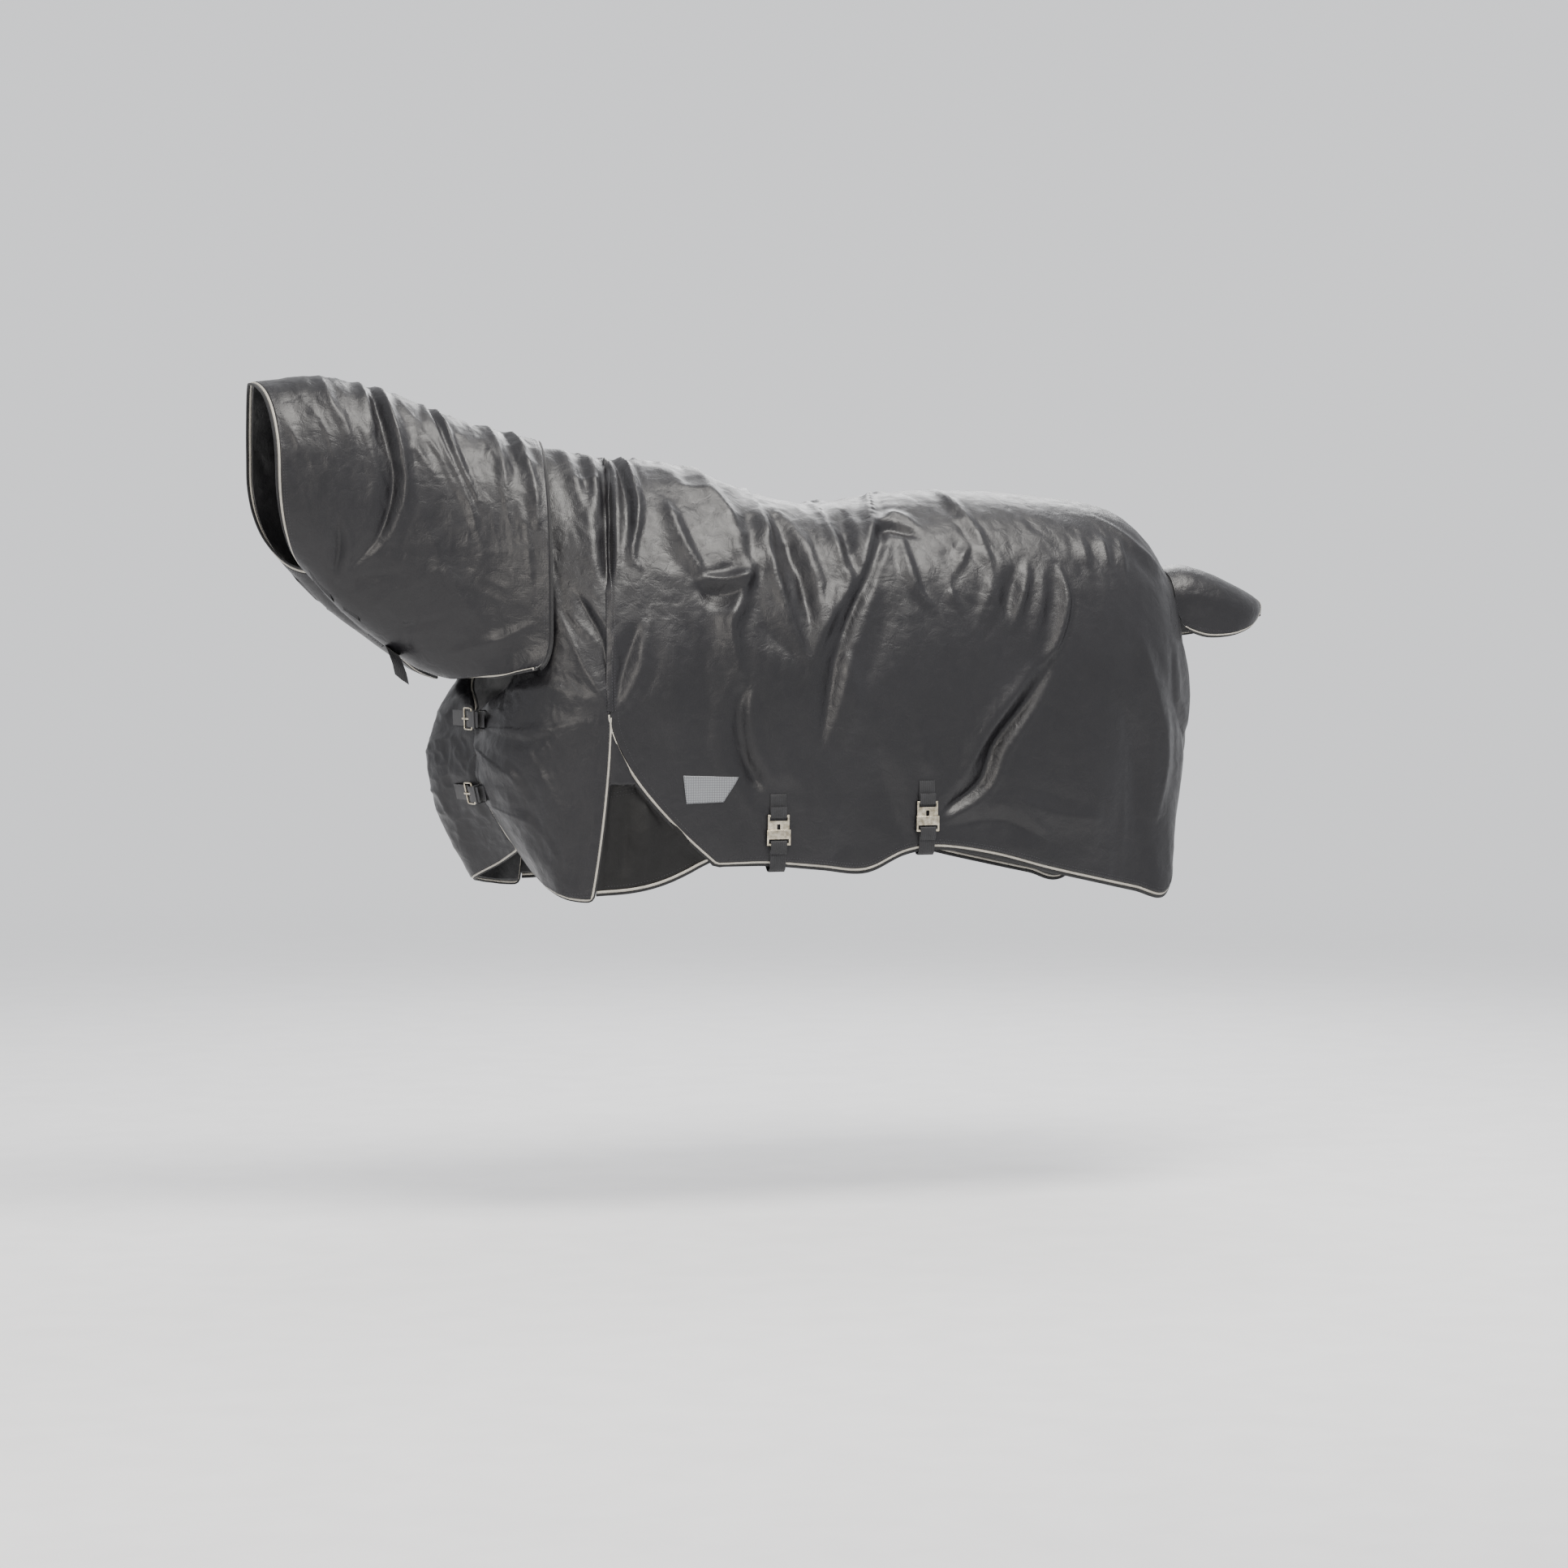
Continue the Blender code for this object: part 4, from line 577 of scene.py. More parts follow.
BODY_FOLDS = (
    Fold(((-0.095, -0.003), (-0.105, -0.089), (-0.133, -0.182), (-0.123, -0.207)), 9, 7),
    Fold(((-0.111, -0.011), (-0.121, -0.08), (-0.141, -0.158)), -9, 8),
    Fold(((-0.14, -0.329), (-0.177, -0.415), (-0.191, -0.479)), -6, 9),
    Fold(((-0.112, -0.303), (-0.138, -0.416), (-0.178, -0.489)), 4, 10),
    Fold(((-0.04, -0.073), (-0.028, -0.154), (0.007, -0.228)), 8, 10),
    Fold(((0.007, -0.228), (0.05, -0.236), (0.104, -0.225)), 10, 10),
    Fold(((-0.003, -0.248), (0.049, -0.256), (0.094, -0.247)), -9, 12),
    Fold(((0.059, -0.04), (0.095, -0.123), (0.086, -0.228)), 7, 14),
    Fold(((0.001, -0.039), (0.055, -0.057), (0.097, -0.106)), 4, 12),
    Fold(((0.124, -0.189), (0.075, -0.264), (0.055, -0.331), (0.07, -0.433)), 12, 12),
    Fold(((0.08, -0.433), (0.061, -0.498), (0.074, -0.58), (0.109, -0.647), (0.13, -0.708)), -11, 11),
    Fold(((0.089, -0.448), (0.083, -0.534), (0.097, -0.606)), 5, 12),
    Fold(((0.176, -0.054), (0.161, -0.141), (0.158, -0.206), (0.172, -0.312), (0.213, -0.401)), 10, 9),
    Fold(((0.322, -0.074), (0.306, -0.181), (0.314, -0.245), (0.256, -0.325), (0.222, -0.394)), 11, 10),
    Fold(((0.196, -0.108), (0.216, -0.229), (0.222, -0.322)), -14, 14),
    Fold(((0.112, -0.25), (0.127, -0.321), (0.179, -0.385)), -6, 12),
    Fold(((0.357, -0.096), (0.331, -0.181)), -9, 9),
    Fold(((0.46, -0.061), (0.4, -0.131), (0.34, -0.233), (0.289, -0.32)), 10, 9),
    Fold(((0.409, -0.148), (0.331, -0.266), (0.272, -0.384), (0.247, -0.504), (0.235, -0.566)), -10, 12),
    Fold(((0.4, -0.145), (0.434, -0.127), (0.485, -0.14)), -8, 8),
    Fold(((0.417, -0.119), (0.46, -0.1), (0.502, -0.124)), 6, 10),
    Fold(((0.451, -0.148), (0.46, -0.238), (0.494, -0.293)), 7, 7),
    Fold(((0.4, -0.207), (0.374, -0.336), (0.323, -0.455)), -5, 22),
    Fold(((0.289, -0.371), (0.306, -0.47), (0.284, -0.57)), 5, 16),
    Fold(((0.596, -0.066), (0.621, -0.14), (0.63, -0.23), (0.579, -0.335)), 6, 7),
    Fold(((0.596, -0.163), (0.536, -0.241), (0.553, -0.292)), 6, 7),
    Fold(((0.57, -0.189), (0.519, -0.266)), -5, 8),
    Fold(((0.655, -0.191), (0.63, -0.276), (0.587, -0.354)), 4, 8),
    Fold(((0.715, -0.198), (0.706, -0.246), (0.672, -0.334)), 6, 7),
    Fold(((0.689, -0.204), (0.655, -0.304)), -4, 8),
    Fold(((0.75, -0.208), (0.732, -0.292), (0.706, -0.372)), 4, 7),
    Fold(((0.784, -0.209), (0.792, -0.273), (0.767, -0.355), (0.732, -0.407)), 10, 7),
    Fold(
        (
            (0.75, -0.398),
            (0.697, -0.481),
            (0.629, -0.565),
            (0.585, -0.65),
            (0.501, -0.707),
            (0.466, -0.727),
        ),
        -12,
        10,
    ),
    Fold(((0.715, -0.393), (0.655, -0.477), (0.596, -0.563), (0.54, -0.637)), 5, 12),
    Fold(((0.907, -0.105), (0.998, -0.173), (1.07, -0.24)), 4, 9),
    Fold(((0.854, -0.146), (0.854, -0.207)), 4, 7),
    Fold(((0.902, -0.143), (0.903, -0.205)), 4, 7),
    Fold(((0.948, -0.153), (0.943, -0.217)), 4, 7),
    Fold(((0.966, -0.358), (1.006, -0.482), (1.029, -0.6), (1.01, -0.718)), 6, 16),
    Fold(((0.911, -0.474), (0.947, -0.596), (0.954, -0.733)), -5, 18),
    Fold(((1.093, -0.362), (1.114, -0.465), (1.111, -0.551)), 5, 13),
    Fold(((1.05, -0.376), (1.064, -0.495), (1.12, -0.6)), -5, 12),
    Fold(((0.818, -0.541), (0.845, -0.68), (0.839, -0.798)), 4, 24),
    Fold(((0.647, -0.673), (0.741, -0.709), (0.857, -0.728)), 4, 14),
    Fold(((0.518, -0.739), (0.632, -0.725), (0.726, -0.761)), -5, 12),
    Fold(((0.147, -0.534), (0.172, -0.634), (0.151, -0.725)), 4, 18),
    Fold(((0.359, -0.568), (0.379, -0.669), (0.413, -0.746)), -5, 18),
    Fold(((0.451, -0.538), (0.467, -0.637), (0.469, -0.714)), 5, 18),
    Fold(((-0.082, -0.3), (-0.063, -0.452), (-0.073, -0.58)), 4, 20),
    Fold(((-0.017, -0.339), (-0.002, -0.465), (-0.01, -0.579)), -4, 20),
    Fold(((0.233, -0.618), (0.252, -0.718), (0.245, -0.798)), 4, 22),
)
TRUNK_FOLDS = FRONT_FOLDS + BODY_FOLDS
OFF_SIDE = Shift(x=0.035, z=-0.018, height=0.85, width=1.1)


@dataclass(frozen=True)
class Rumple:
    """A patch of small creases round a place. Spread is in metres, height and crease width in mm."""

    x: float
    z: float
    spread_x: float
    spread_z: float
    height: float
    crease: float
    run: tuple[float, float] = (0.0, 1.0)
    stretch: float = 2.5
    seed: int = 1
    side: int = 0

    def lift(self, points: Array) -> Array:
        """Lifts in metres.

        Args:
            points: (n, 3).

        Returns:
            One lift for each point.
        """
        dx, dz = points[:, 0] - self.x, points[:, 2] - self.z
        mask = np.exp(-((dx / self.spread_x) ** 2) - (dz / self.spread_z) ** 2)
        if self.side:
            mask = mask * smooth_step(points[:, 1] * self.side, -0.02, 0.03)
        run = np.array(self.run) / math.hypot(*self.run)
        along = points[:, 0] * run[0] + points[:, 2] * run[1]
        across = points[:, 0] * run[1] - points[:, 2] * run[0]
        size = self.crease * MM
        long = along / size / self.stretch
        places = np.stack([across / size, long, points[:, 1] / size / 1.6], axis=1)
        bend = noise(places * 0.45 + 7.3, self.seed + 40)[:, None] * 0.8
        ridge = 0.62 - creased(places + bend, self.seed) * 1.4
        ridge += 0.45 * (0.5 - creased(places * 2.3 + 3.1, self.seed + 9) * 1.4)
        return mask * ridge * self.height * MM


BODY_RUMPLES = (
    Rumple(0.20, -0.20, 0.26, 0.17, 5.5, 62, (0.25, 1), 2.2, 3),
    Rumple(0.62, -0.22, 0.22, 0.15, 3.0, 34, (-0.45, 1), 3.6, 5),
    Rumple(-0.06, -0.25, 0.13, 0.30, 2.5, 42, (0.1, 1), 3.5, 7),
    Rumple(0.35, -0.02, 0.45, 0.10, 2.0, 45, (0.2, 1), 2.0, 11),
    Rumple(0.45, -0.62, 0.55, 0.22, 3.0, 95, (0.15, 1), 2.4, 13),
    Rumple(1.02, -0.55, 0.16, 0.30, 4.0, 70, (0.1, 1), 3.0, 17),
    Rumple(0.92, -0.17, 0.15, 0.08, 2.0, 28, (0.6, -1), 3.0, 19),
)
FRONT_RUMPLES = (
    Rumple(-0.20, -0.05, 0.10, 0.16, 3.0, 34, (-0.15, 1), 3.2, 23),
    Rumple(-0.27, -0.42, 0.12, 0.14, 3.0, 40, (0.7, -1), 3.0, 29),
    Rumple(-0.36, -0.62, 0.10, 0.16, 3.0, 36, (0.4, -1), 2.2, 31, side=-1),
    Rumple(-0.40, -0.62, 0.14, 0.20, 5.0, 34, (0.3, -1), 1.6, 37, side=1),
    Rumple(-0.28, -0.75, 0.10, 0.12, 2.5, 50, (0.1, 1), 2.4, 41),
)
NECK_RUMPLES = (
    Rumple(-0.52, 0.03, 0.22, 0.12, 3.2, 32, (0.42, -1), 4.0, 43),
    Rumple(-0.34, -0.06, 0.08, 0.18, 2.6, 34, (0.1, -1), 3.5, 47),
    Rumple(-0.76, 0.05, 0.10, 0.16, 2.6, 36, (0.3, -1), 3.5, 53),
    Rumple(-0.50, -0.24, 0.20, 0.12, 3.4, 60, (-0.8, 0.35), 2.2, 59),
)
TRUNK_RUMPLES = FRONT_RUMPLES + BODY_RUMPLES
CREASE_MIDDLE = 0.45  # of a crease noise, so that it lifts and sinks the cloth alike


@dataclass(frozen=True)
class Ripple:
    """A noise that covers the whole cloth: its size in metres along each axis, and its height in mm."""

    size: tuple[float, float, float]
    shift: float
    seed: int
    height: float

    def places(self, points: Array) -> Array:
        """Points in the noise's own units."""
        return points / np.array(self.size) + self.shift

    def waves(self, points: Array) -> Array:
        """Smooth lifts in mm."""
        return noise(self.places(points), self.seed) * self.height

    def creases(self, points: Array) -> Array:
        """Sharp-edged lifts in mm."""
        return (CREASE_MIDDLE - creased(self.places(points), self.seed)) * self.height


SLOW = Ripple((0.17, 0.25, 0.33), 11.0, 61, 6.5)
FLUTES = Ripple((0.085, 0.2, 0.6), 5.0, 67, 9.0)
FINE = Ripple((0.030, 0.05, 0.055), 2.0, 71, 1.1)
FINEST = Ripple((0.012, 0.016, 0.018), 9.0, 73, 0.35)
FLUTE_RISE = 0.20  # how far up from the hem the flutes reach


def billow(points: Array, hem_z: Array) -> Array:
    """The slow swell of loose cloth, flutes near its hem, and a fine crumple all over.

    Args:
        points: (n, 3).
        hem_z: How far each point is above its hem.

    Returns:
        Lifts in metres.
    """
    flutes = FLUTES.waves(points) * np.exp(-hem_z / FLUTE_RISE)
    return (SLOW.waves(points) + flutes + FINE.creases(points) + FINEST.creases(points)) * MM


# ---------------------------------------------------------------------------------------------------
# Finishes


def linear(code: str) -> tuple[float, float, float, float]:
    """An sRGB hex colour as linear numbers.

    Args:
        code: Such as "#2b2b33".

    Returns:
        Linear red, green, blue and 1.
    """
    channels = [int(code[k : k + 2], 16) / 255 for k in (1, 3, 5)]
    red, green, blue = (c / 12.92 if c <= 0.04045 else ((c + 0.055) / 1.055) ** 2.4 for c in channels)
    return red, green, blue, 1.0


def add_node(
    tree: bpy.types.NodeTree, kind: str, feeds: dict[str | int, Any] | None = None, **settings: Any
) -> Any:
    """Adds one node.

    Args:
        tree: The node tree.
        kind: The node's type.
        feeds: Its inputs by name or number: a socket is linked, anything else is set.
        settings: Its own properties.

    Returns:
        The node.
    """
    node = tree.nodes.new(kind)
    for key, value in settings.items():
        setattr(node, key, value)
    for key, value in (feeds or {}).items():
        socket = node.inputs[key]
        if isinstance(value, bpy.types.NodeSocket):
            tree.links.new(value, socket)
        else:
            socket.default_value = value
    return node


def ramp(
    tree: bpy.types.NodeTree, factor: Any, low: str, high: str, start: float = 0.3, end: float = 0.7
) -> Any:
    """A colour that goes from one to another as a factor grows.

    Args:
        tree: The node tree.
        factor: The socket that drives it.
        low: Hex colour at start.
        high: Hex colour at end.
        start: Factor of the first colour.
        end: Factor of the second.

    Returns:
        The colour socket.
    """
    node = add_node(tree, "ShaderNodeValToRGB", {"Fac": factor})
    node.color_ramp.elements[0].position = start
    node.color_ramp.elements[0].color = linear(low)
    node.color_ramp.elements[1].position = end
    node.color_ramp.elements[1].color = linear(high)
    return node.outputs["Color"]


def band_scale(pitch: float) -> float:
    """The wave texture's scale for a real pitch; its bands are 2 pi / (20 * scale) apart.

    Args:
        pitch: Between two threads or ribs, in mm.

    Returns:
        The scale.
    """
    return 2 * math.pi / 20 / (pitch * MM)


@dataclass(frozen=True)
class Finish:
    """What a surface is made of. Kinds of finish add their own pattern in shade()."""

    name: str = "finish"
    dark: str = "#202020"
    light: str = "#303030"
    roughness: float = 0.5
    metallic: float = 0.0
    ior: float = 1.5
    sheen: float = 0.0
    coat: float = 0.0

    def material(self) -> bpy.types.Material:
        """The finish's material, made once."""
        made = bpy.data.materials.get(self.name)
        if made is not None:
            return made
        made = bpy.data.materials.new(self.name)
        made.use_nodes = True
        tree = made.node_tree
        shader = tree.nodes["Principled BSDF"]
        shader.inputs["Roughness"].default_value = self.roughness
        shader.inputs["Metallic"].default_value = self.metallic
        if not self.metallic:
            shader.inputs["IOR"].default_value = self.ior
        shader.inputs["Sheen Weight"].default_value = self.sheen
        shader.inputs["Sheen Roughness"].default_value = 0.45
        shader.inputs["Coat Weight"].default_value = self.coat
        shader.inputs["Coat Roughness"].default_value = 0.35
        self.shade(tree, shader)
        return made

    def shade(self, tree: bpy.types.NodeTree, shader: Any) -> None:
        """Feeds the shader. The plain finish only varies its colour a little.

        Args:
            tree: The material's tree.
            shader: Its Principled shader.
        """
        place = add_node(tree, "ShaderNodeTexCoord").outputs["Object"]
        cloud = add_node(tree, "ShaderNodeTexNoise", {"Vector": place, "Scale": 9.0, "Detail": 4.0})
        tree.links.new(ramp(tree, cloud.outputs["Fac"], self.dark, self.light), shader.inputs["Base Color"])


@dataclass(frozen=True)
class Woven(Finish):
    """A plain or basket weave, laid along the cloth's own directions."""

    thread: float = 2.2  # mm between threads as drawn
    bump: float = 0.25
    crumple: float = 0.5  # mm
    coords: str = "UV"

    def shade(self, tree: bpy.types.NodeTree, shader: Any) -> None:
        """Adds the weave, the crumple of the cloth and an uneven coating.

        Args:
            tree: The material's tree.
            shader: Its Principled shader.
        """
        source = add_node(tree, "ShaderNodeTexCoord")
        spread, place = source.outputs[self.coords], source.outputs["Object"]
        scale = band_scale(self.thread)
        warp = add_node(tree, "ShaderNodeTexWave", {"Vector": spread, "Scale": scale}, bands_direction="X")
        weft = add_node(tree, "ShaderNodeTexWave", {"Vector": spread, "Scale": scale}, bands_direction="Y")
        cross = add_node(
            tree, "ShaderNodeMath", {0: warp.outputs["Fac"], 1: weft.outputs["Fac"]}, operation="MULTIPLY"
        ).outputs[0]
        cloud = add_node(tree, "ShaderNodeTexNoise", {"Vector": place, "Scale": 5.0, "Detail": 5.0})
        wrinkle = add_node(
            tree,
            "ShaderNodeTexNoise",
            {"Vector": place, "Scale": 38.0, "Detail": 6.0, "Roughness": 0.55, "Distortion": 0.6},
        )
        colour = ramp(tree, cloud.outputs["Fac"], self.dark, self.light)
        thin = add_node(tree, "ShaderNodeMath", {0: cross, 1: 0.35}, operation="MULTIPLY").outputs[0]
        blend = {0: thin, 6: colour, 7: linear(self.light)}
        shade = add_node(tree, "ShaderNodeMix", blend, data_type="RGBA")
        tree.links.new(shade.outputs[2], shader.inputs["Base Color"])
        rough = add_node(
            tree,
            "ShaderNodeMapRange",
            {
                "Value": wrinkle.outputs["Fac"],
                "From Min": 0.3,
                "From Max": 0.7,
                "To Min": self.roughness - 0.06,
                "To Max": self.roughness + 0.08,
            },
        )
        tree.links.new(rough.outputs[0], shader.inputs["Roughness"])
        threads = add_node(
            tree, "ShaderNodeBump", {"Height": cross, "Distance": 0.3 * MM, "Strength": self.bump}
        )
        folds = add_node(
            tree,
            "ShaderNodeBump",
            {
                "Height": wrinkle.outputs["Fac"],
                "Distance": self.crumple * 4 * MM,
                "Strength": 1.0,
                "Normal": threads.outputs[0],
            },
        )
        tree.links.new(folds.outputs[0], shader.inputs["Normal"])


@dataclass(frozen=True)
class Ribbed(Finish):
    """A narrow braid or webbing, its ribs slanting across it."""

    rib: float = 2.0  # mm
    bump: float = 0.6
    slant: float = 0.6
    coords: str = "UV"

    def shade(self, tree: bpy.types.NodeTree, shader: Any) -> None:
        """Adds the ribs and a little wear on their tops.

        Args:
            tree: The material's tree.
            shader: Its Principled shader.
        """
        source = add_node(tree, "ShaderNodeTexCoord")
        turned = add_node(
            tree,
            "ShaderNodeMapping",
            {"Vector": source.outputs[self.coords], "Rotation": (0.0, 0.0, self.slant)},
        )
        scale = band_scale(self.rib)
        ribs = add_node(
            tree,
            "ShaderNodeTexWave",
            {"Vector": turned.outputs[0], "Scale": scale, "Distortion": 0.4, "Detail": 1.0},
            bands_direction="X",
        )
        place = source.outputs["Object"]
        cloud = add_node(tree, "ShaderNodeTexNoise", {"Vector": place, "Scale": 60.0, "Detail": 4.0})
        pair = {0: ribs.outputs["Fac"], 1: cloud.outputs["Fac"]}
        worn = add_node(tree, "ShaderNodeMath", pair, operation="MULTIPLY").outputs[0]
        tree.links.new(ramp(tree, worn, self.dark, self.light, 0.1, 0.6), shader.inputs["Base Color"])
        relief = {"Height": ribs.outputs["Fac"], "Distance": 0.4 * MM, "Strength": self.bump}
        bump = add_node(tree, "ShaderNodeBump", relief)
        tree.links.new(bump.outputs[0], shader.inputs["Normal"])


@dataclass(frozen=True)
class Plated(Finish):
    """Plated metal, tumbled smooth and scuffed by use."""

    def shade(self, tree: bpy.types.NodeTree, shader: Any) -> None:
        """Adds blotches of tarnish and fine scuffs.

        Args:
            tree: The material's tree.
            shader: Its Principled shader.
        """
        place = add_node(tree, "ShaderNodeTexCoord").outputs["Object"]
        tarnish = add_node(tree, "ShaderNodeTexNoise", {"Vector": place, "Scale": 120.0, "Detail": 5.0})
        scuff = add_node(
            tree,
            "ShaderNodeTexNoise",
            {"Vector": place, "Scale": 700.0, "Detail": 3.0, "Distortion": 1.5},
        )
        colour = ramp(tree, tarnish.outputs["Fac"], self.dark, self.light)
        tree.links.new(colour, shader.inputs["Base Color"])
        rough = add_node(
            tree,
            "ShaderNodeMapRange",
            {
                "Value": scuff.outputs["Fac"],
                "From Min": 0.3,
                "From Max": 0.7,
                "To Min": self.roughness - 0.07,
                "To Max": self.roughness + 0.12,
            },
        )
        tree.links.new(rough.outputs[0], shader.inputs["Roughness"])
        bump = add_node(
            tree, "ShaderNodeBump", {"Height": scuff.outputs["Fac"], "Distance": 0.05 * MM, "Strength": 0.4}
        )
        tree.links.new(bump.outputs[0], shader.inputs["Normal"])


@dataclass(frozen=True)
class Beaded(Finish):
    """Glass-bead reflective film, pressed into a fine honeycomb."""

    cell: float = 5.0  # mm

    def shade(self, tree: bpy.types.NodeTree, shader: Any) -> None:
        """Adds the honeycomb.

        Args:
            tree: The material's tree.
            shader: Its Principled shader.
        """
        place = add_node(tree, "ShaderNodeTexCoord").outputs["UV"]
        comb = add_node(
            tree,
            "ShaderNodeTexVoronoi",
            {"Vector": place, "Scale": 1 / (self.cell * MM), "Randomness": 0.1},
            feature="DISTANCE_TO_EDGE",
            voronoi_dimensions="2D",
        )
        edge = comb.outputs["Distance"]
        tree.links.new(ramp(tree, edge, self.dark, self.light, 0.02, 0.12), shader.inputs["Base Color"])
        bump = add_node(tree, "ShaderNodeBump", {"Height": edge, "Distance": 0.2 * MM, "Strength": 0.3})
        tree.links.new(bump.outputs[0], shader.inputs["Normal"])


# Solution-dyed polyester oxford, woven and coated with clear polyurethane: dark, with a soft grey shine
# where it faces the light. Its threads are 0.7 mm apart; they are drawn 2.4 mm apart so that they show.
OXFORD = Woven("polyester_oxford_coated", "#0e0d10", "#161518", 0.39, ior=1.46, thread=2.4)
# Nylon taffeta, woven and calendered: a smoother and blacker lining. Its weave is drawn coarse to show.
TAFFETA = Woven("nylon_taffeta_lining", "#0b0b0d", "#121214", 0.38, sheen=0.05, thread=1.8, crumple=0.3)
# The oxford drawn matt and nearly black on the gusset's lower panel, below the pleat: painted shade under
# the upper panel that laps over it.
PLEAT_SHADE_CLOTH = Woven("gusset_painted_shade_cloth", "#060505", "#0b0a09", 0.62, ior=1.4, thread=2.4)
# Satin-covered cotton cord, woven on the slant: it stands out silver against the cloth.
SATIN = Ribbed("satin_piping_cord", "#8d8980", "#bcb7ac", 0.46, sheen=0.15, rib=2.2, bump=0.35)
# Polypropylene braid, folded over the raw edge: matt black, with ribs straight across it.
BRAID = Ribbed("polypropylene_braid", "#08080a", "#18181b", 0.72, sheen=0.1, rib=1.8, bump=0.7, slant=0.0)
# Polypropylene webbing, woven with slanting ribs that wear pale on top: black and dull.
WEBBING = Ribbed(
    "polypropylene_webbing", "#0d0d0f", "#27272b", 0.66, sheen=0.1, rib=2.4, bump=0.9, coords="Object"
)
# Zinc, cast, tumbled and nickel plated: a bright metal, a little warm and blotched with use.
NICKEL = Plated("nickel_plated_zinc", "#8f8672", "#d8cfbb", 0.27, 1.0)
# Glass-bead film pressed on cloth: an even grey, brighter than the cloth round it.
FILM = Beaded("reflective_film", "#4a4c4f", "#7b7d80", 0.42)
# Bonded polyester sewing thread: black with a slight shine.
THREAD = Finish("polyester_thread", "#18181b", "#3a3a41", 0.5, sheen=0.1)


# ---------------------------------------------------------------------------------------------------
# Meshes


@dataclass
class Shell:
    """Points and faces of a piece, with a place in metres on the cloth for each corner."""

    points: list[Array] = field(default_factory=list)
    faces: list[Array] = field(default_factory=list)
    spread: list[Array] = field(default_factory=list)
    finish: list[Array] = field(default_factory=list)
    count: int = 0

    def add(
        self, points: Array, faces: Array, spread: Array | None = None, finish: int | Array = 0
    ) -> None:
        """Adds some points and the four-cornered faces between them.

        Args:
            points: (n, 3).
            faces: (m, 4) of indices into points; a triangle repeats its last corner.
            spread: (n, 2) places for the weave.
            finish: Which of the piece's finishes the faces take.
        """
        self.points.append(points)
        self.faces.append(faces + self.count)
        self.spread.append(np.zeros((len(points), 2)) if spread is None else spread)
        self.finish.append(np.broadcast_to(np.asarray(finish), (len(faces),)))
        self.count += len(points)

    def make(self, name: str, finishes: Sequence[Finish]) -> bpy.types.Object:
        """Turns it into an object.

        Args:
            name: The piece's name.
            finishes: Its finishes in order.

        Returns:
            The object, in the scene.
        """
        points = np.vstack(self.points)
        faces = np.vstack(self.faces)
        spread = np.vstack(self.spread)
        finish = np.concatenate(self.finish)
        cut = [tuple(face) if face[3] != face[2] else tuple(face[:3]) for face in faces.tolist()]
        data = bpy.data.meshes.new(name)
        data.from_pydata(points.tolist(), [], cut)
        layer = data.uv_layers.new(name="cloth")
        corners = np.zeros(len(data.loops), np.int64)
        data.loops.foreach_get("vertex_index", corners)
        layer.data.foreach_set("uv", spread[corners].astype(np.float32).ravel())
        for entry in finishes:
            data.materials.append(entry.material())
        data.polygons.foreach_set("material_index", finish.astype(np.int32))
        data.polygons.foreach_set("use_smooth", np.ones(len(data.polygons), bool))
        data.update()
        made = bpy.data.objects.new(name, data)
        bpy.context.scene.collection.objects.link(made)
        return made


def grid_faces(columns: int, rows: int, flip: bool) -> Array:
    """Faces of a grid of points.

    Args:
        columns: How many columns.
        rows: How many rows.
        flip: Whether they turn the other way.

    Returns:
        (n, 4) indices.
    """
    index = np.arange(columns * rows).reshape(columns, rows)
    corners = (index[:-1, :-1], index[1:, :-1], index[1:, 1:], index[:-1, 1:])
    quads = np.stack(corners, axis=-1).reshape(-1, 4)
    return quads[:, ::-1] if flip else quads


def grid_tree(points: Array) -> BVHTree:
    """A tree of a grid's faces, to cast rays at.

    Args:
        points: Columns by rows of points.

    Returns:
        The tree.
    """
    columns, rows = points.shape[:2]
    places = [Vector(point) for point in points.reshape(-1, 3)]
    return BVHTree.FromPolygons(places, grid_faces(columns, rows, False).tolist())


def closed_sheet(upper: Array, lower: Array, normals: Array, spread: Array, rim: int = 1) -> Shell:
    """A sheet with two faces and a rim round it.

    Args:
        upper: Outer face, columns by rows.
        lower: Inner face.
        normals: Which way is out.
        spread: Places on the cloth.
        rim: The rim's finish.

    Returns:
        The shell: finish 0 outside, 1 inside.
    """
    columns, rows = upper.shape[:2]
    turn = np.cross(upper[1:, :-1] - upper[:-1, :-1], upper[:-1, 1:] - upper[:-1, :-1])
    flip = bool(np.sum(turn * normals[:-1, :-1]) < 0)
    shell = Shell()
    outer, inner = grid_faces(columns, rows, flip), grid_faces(columns, rows, not flip)
    index = np.arange(columns * rows).reshape(columns, rows)
    loop = np.concatenate([index[:, 0], index[-1, 1:], index[-2::-1, -1], index[0, -2:0:-1]])
    after = np.roll(loop, -1)
    total = columns * rows
    walls = np.stack([loop, loop + total, after + total, after], axis=1)
    walls = walls[:, ::-1] if flip else walls
    points = np.vstack([upper.reshape(-1, 3), lower.reshape(-1, 3)])
    places = np.vstack([spread.reshape(-1, 2)] * 2)
    faces = np.vstack([outer, inner + total, walls])
    kinds = np.repeat([0, 1, rim], [len(outer), len(inner), len(walls)])
    shell.add(points, faces, places, kinds)
    return shell


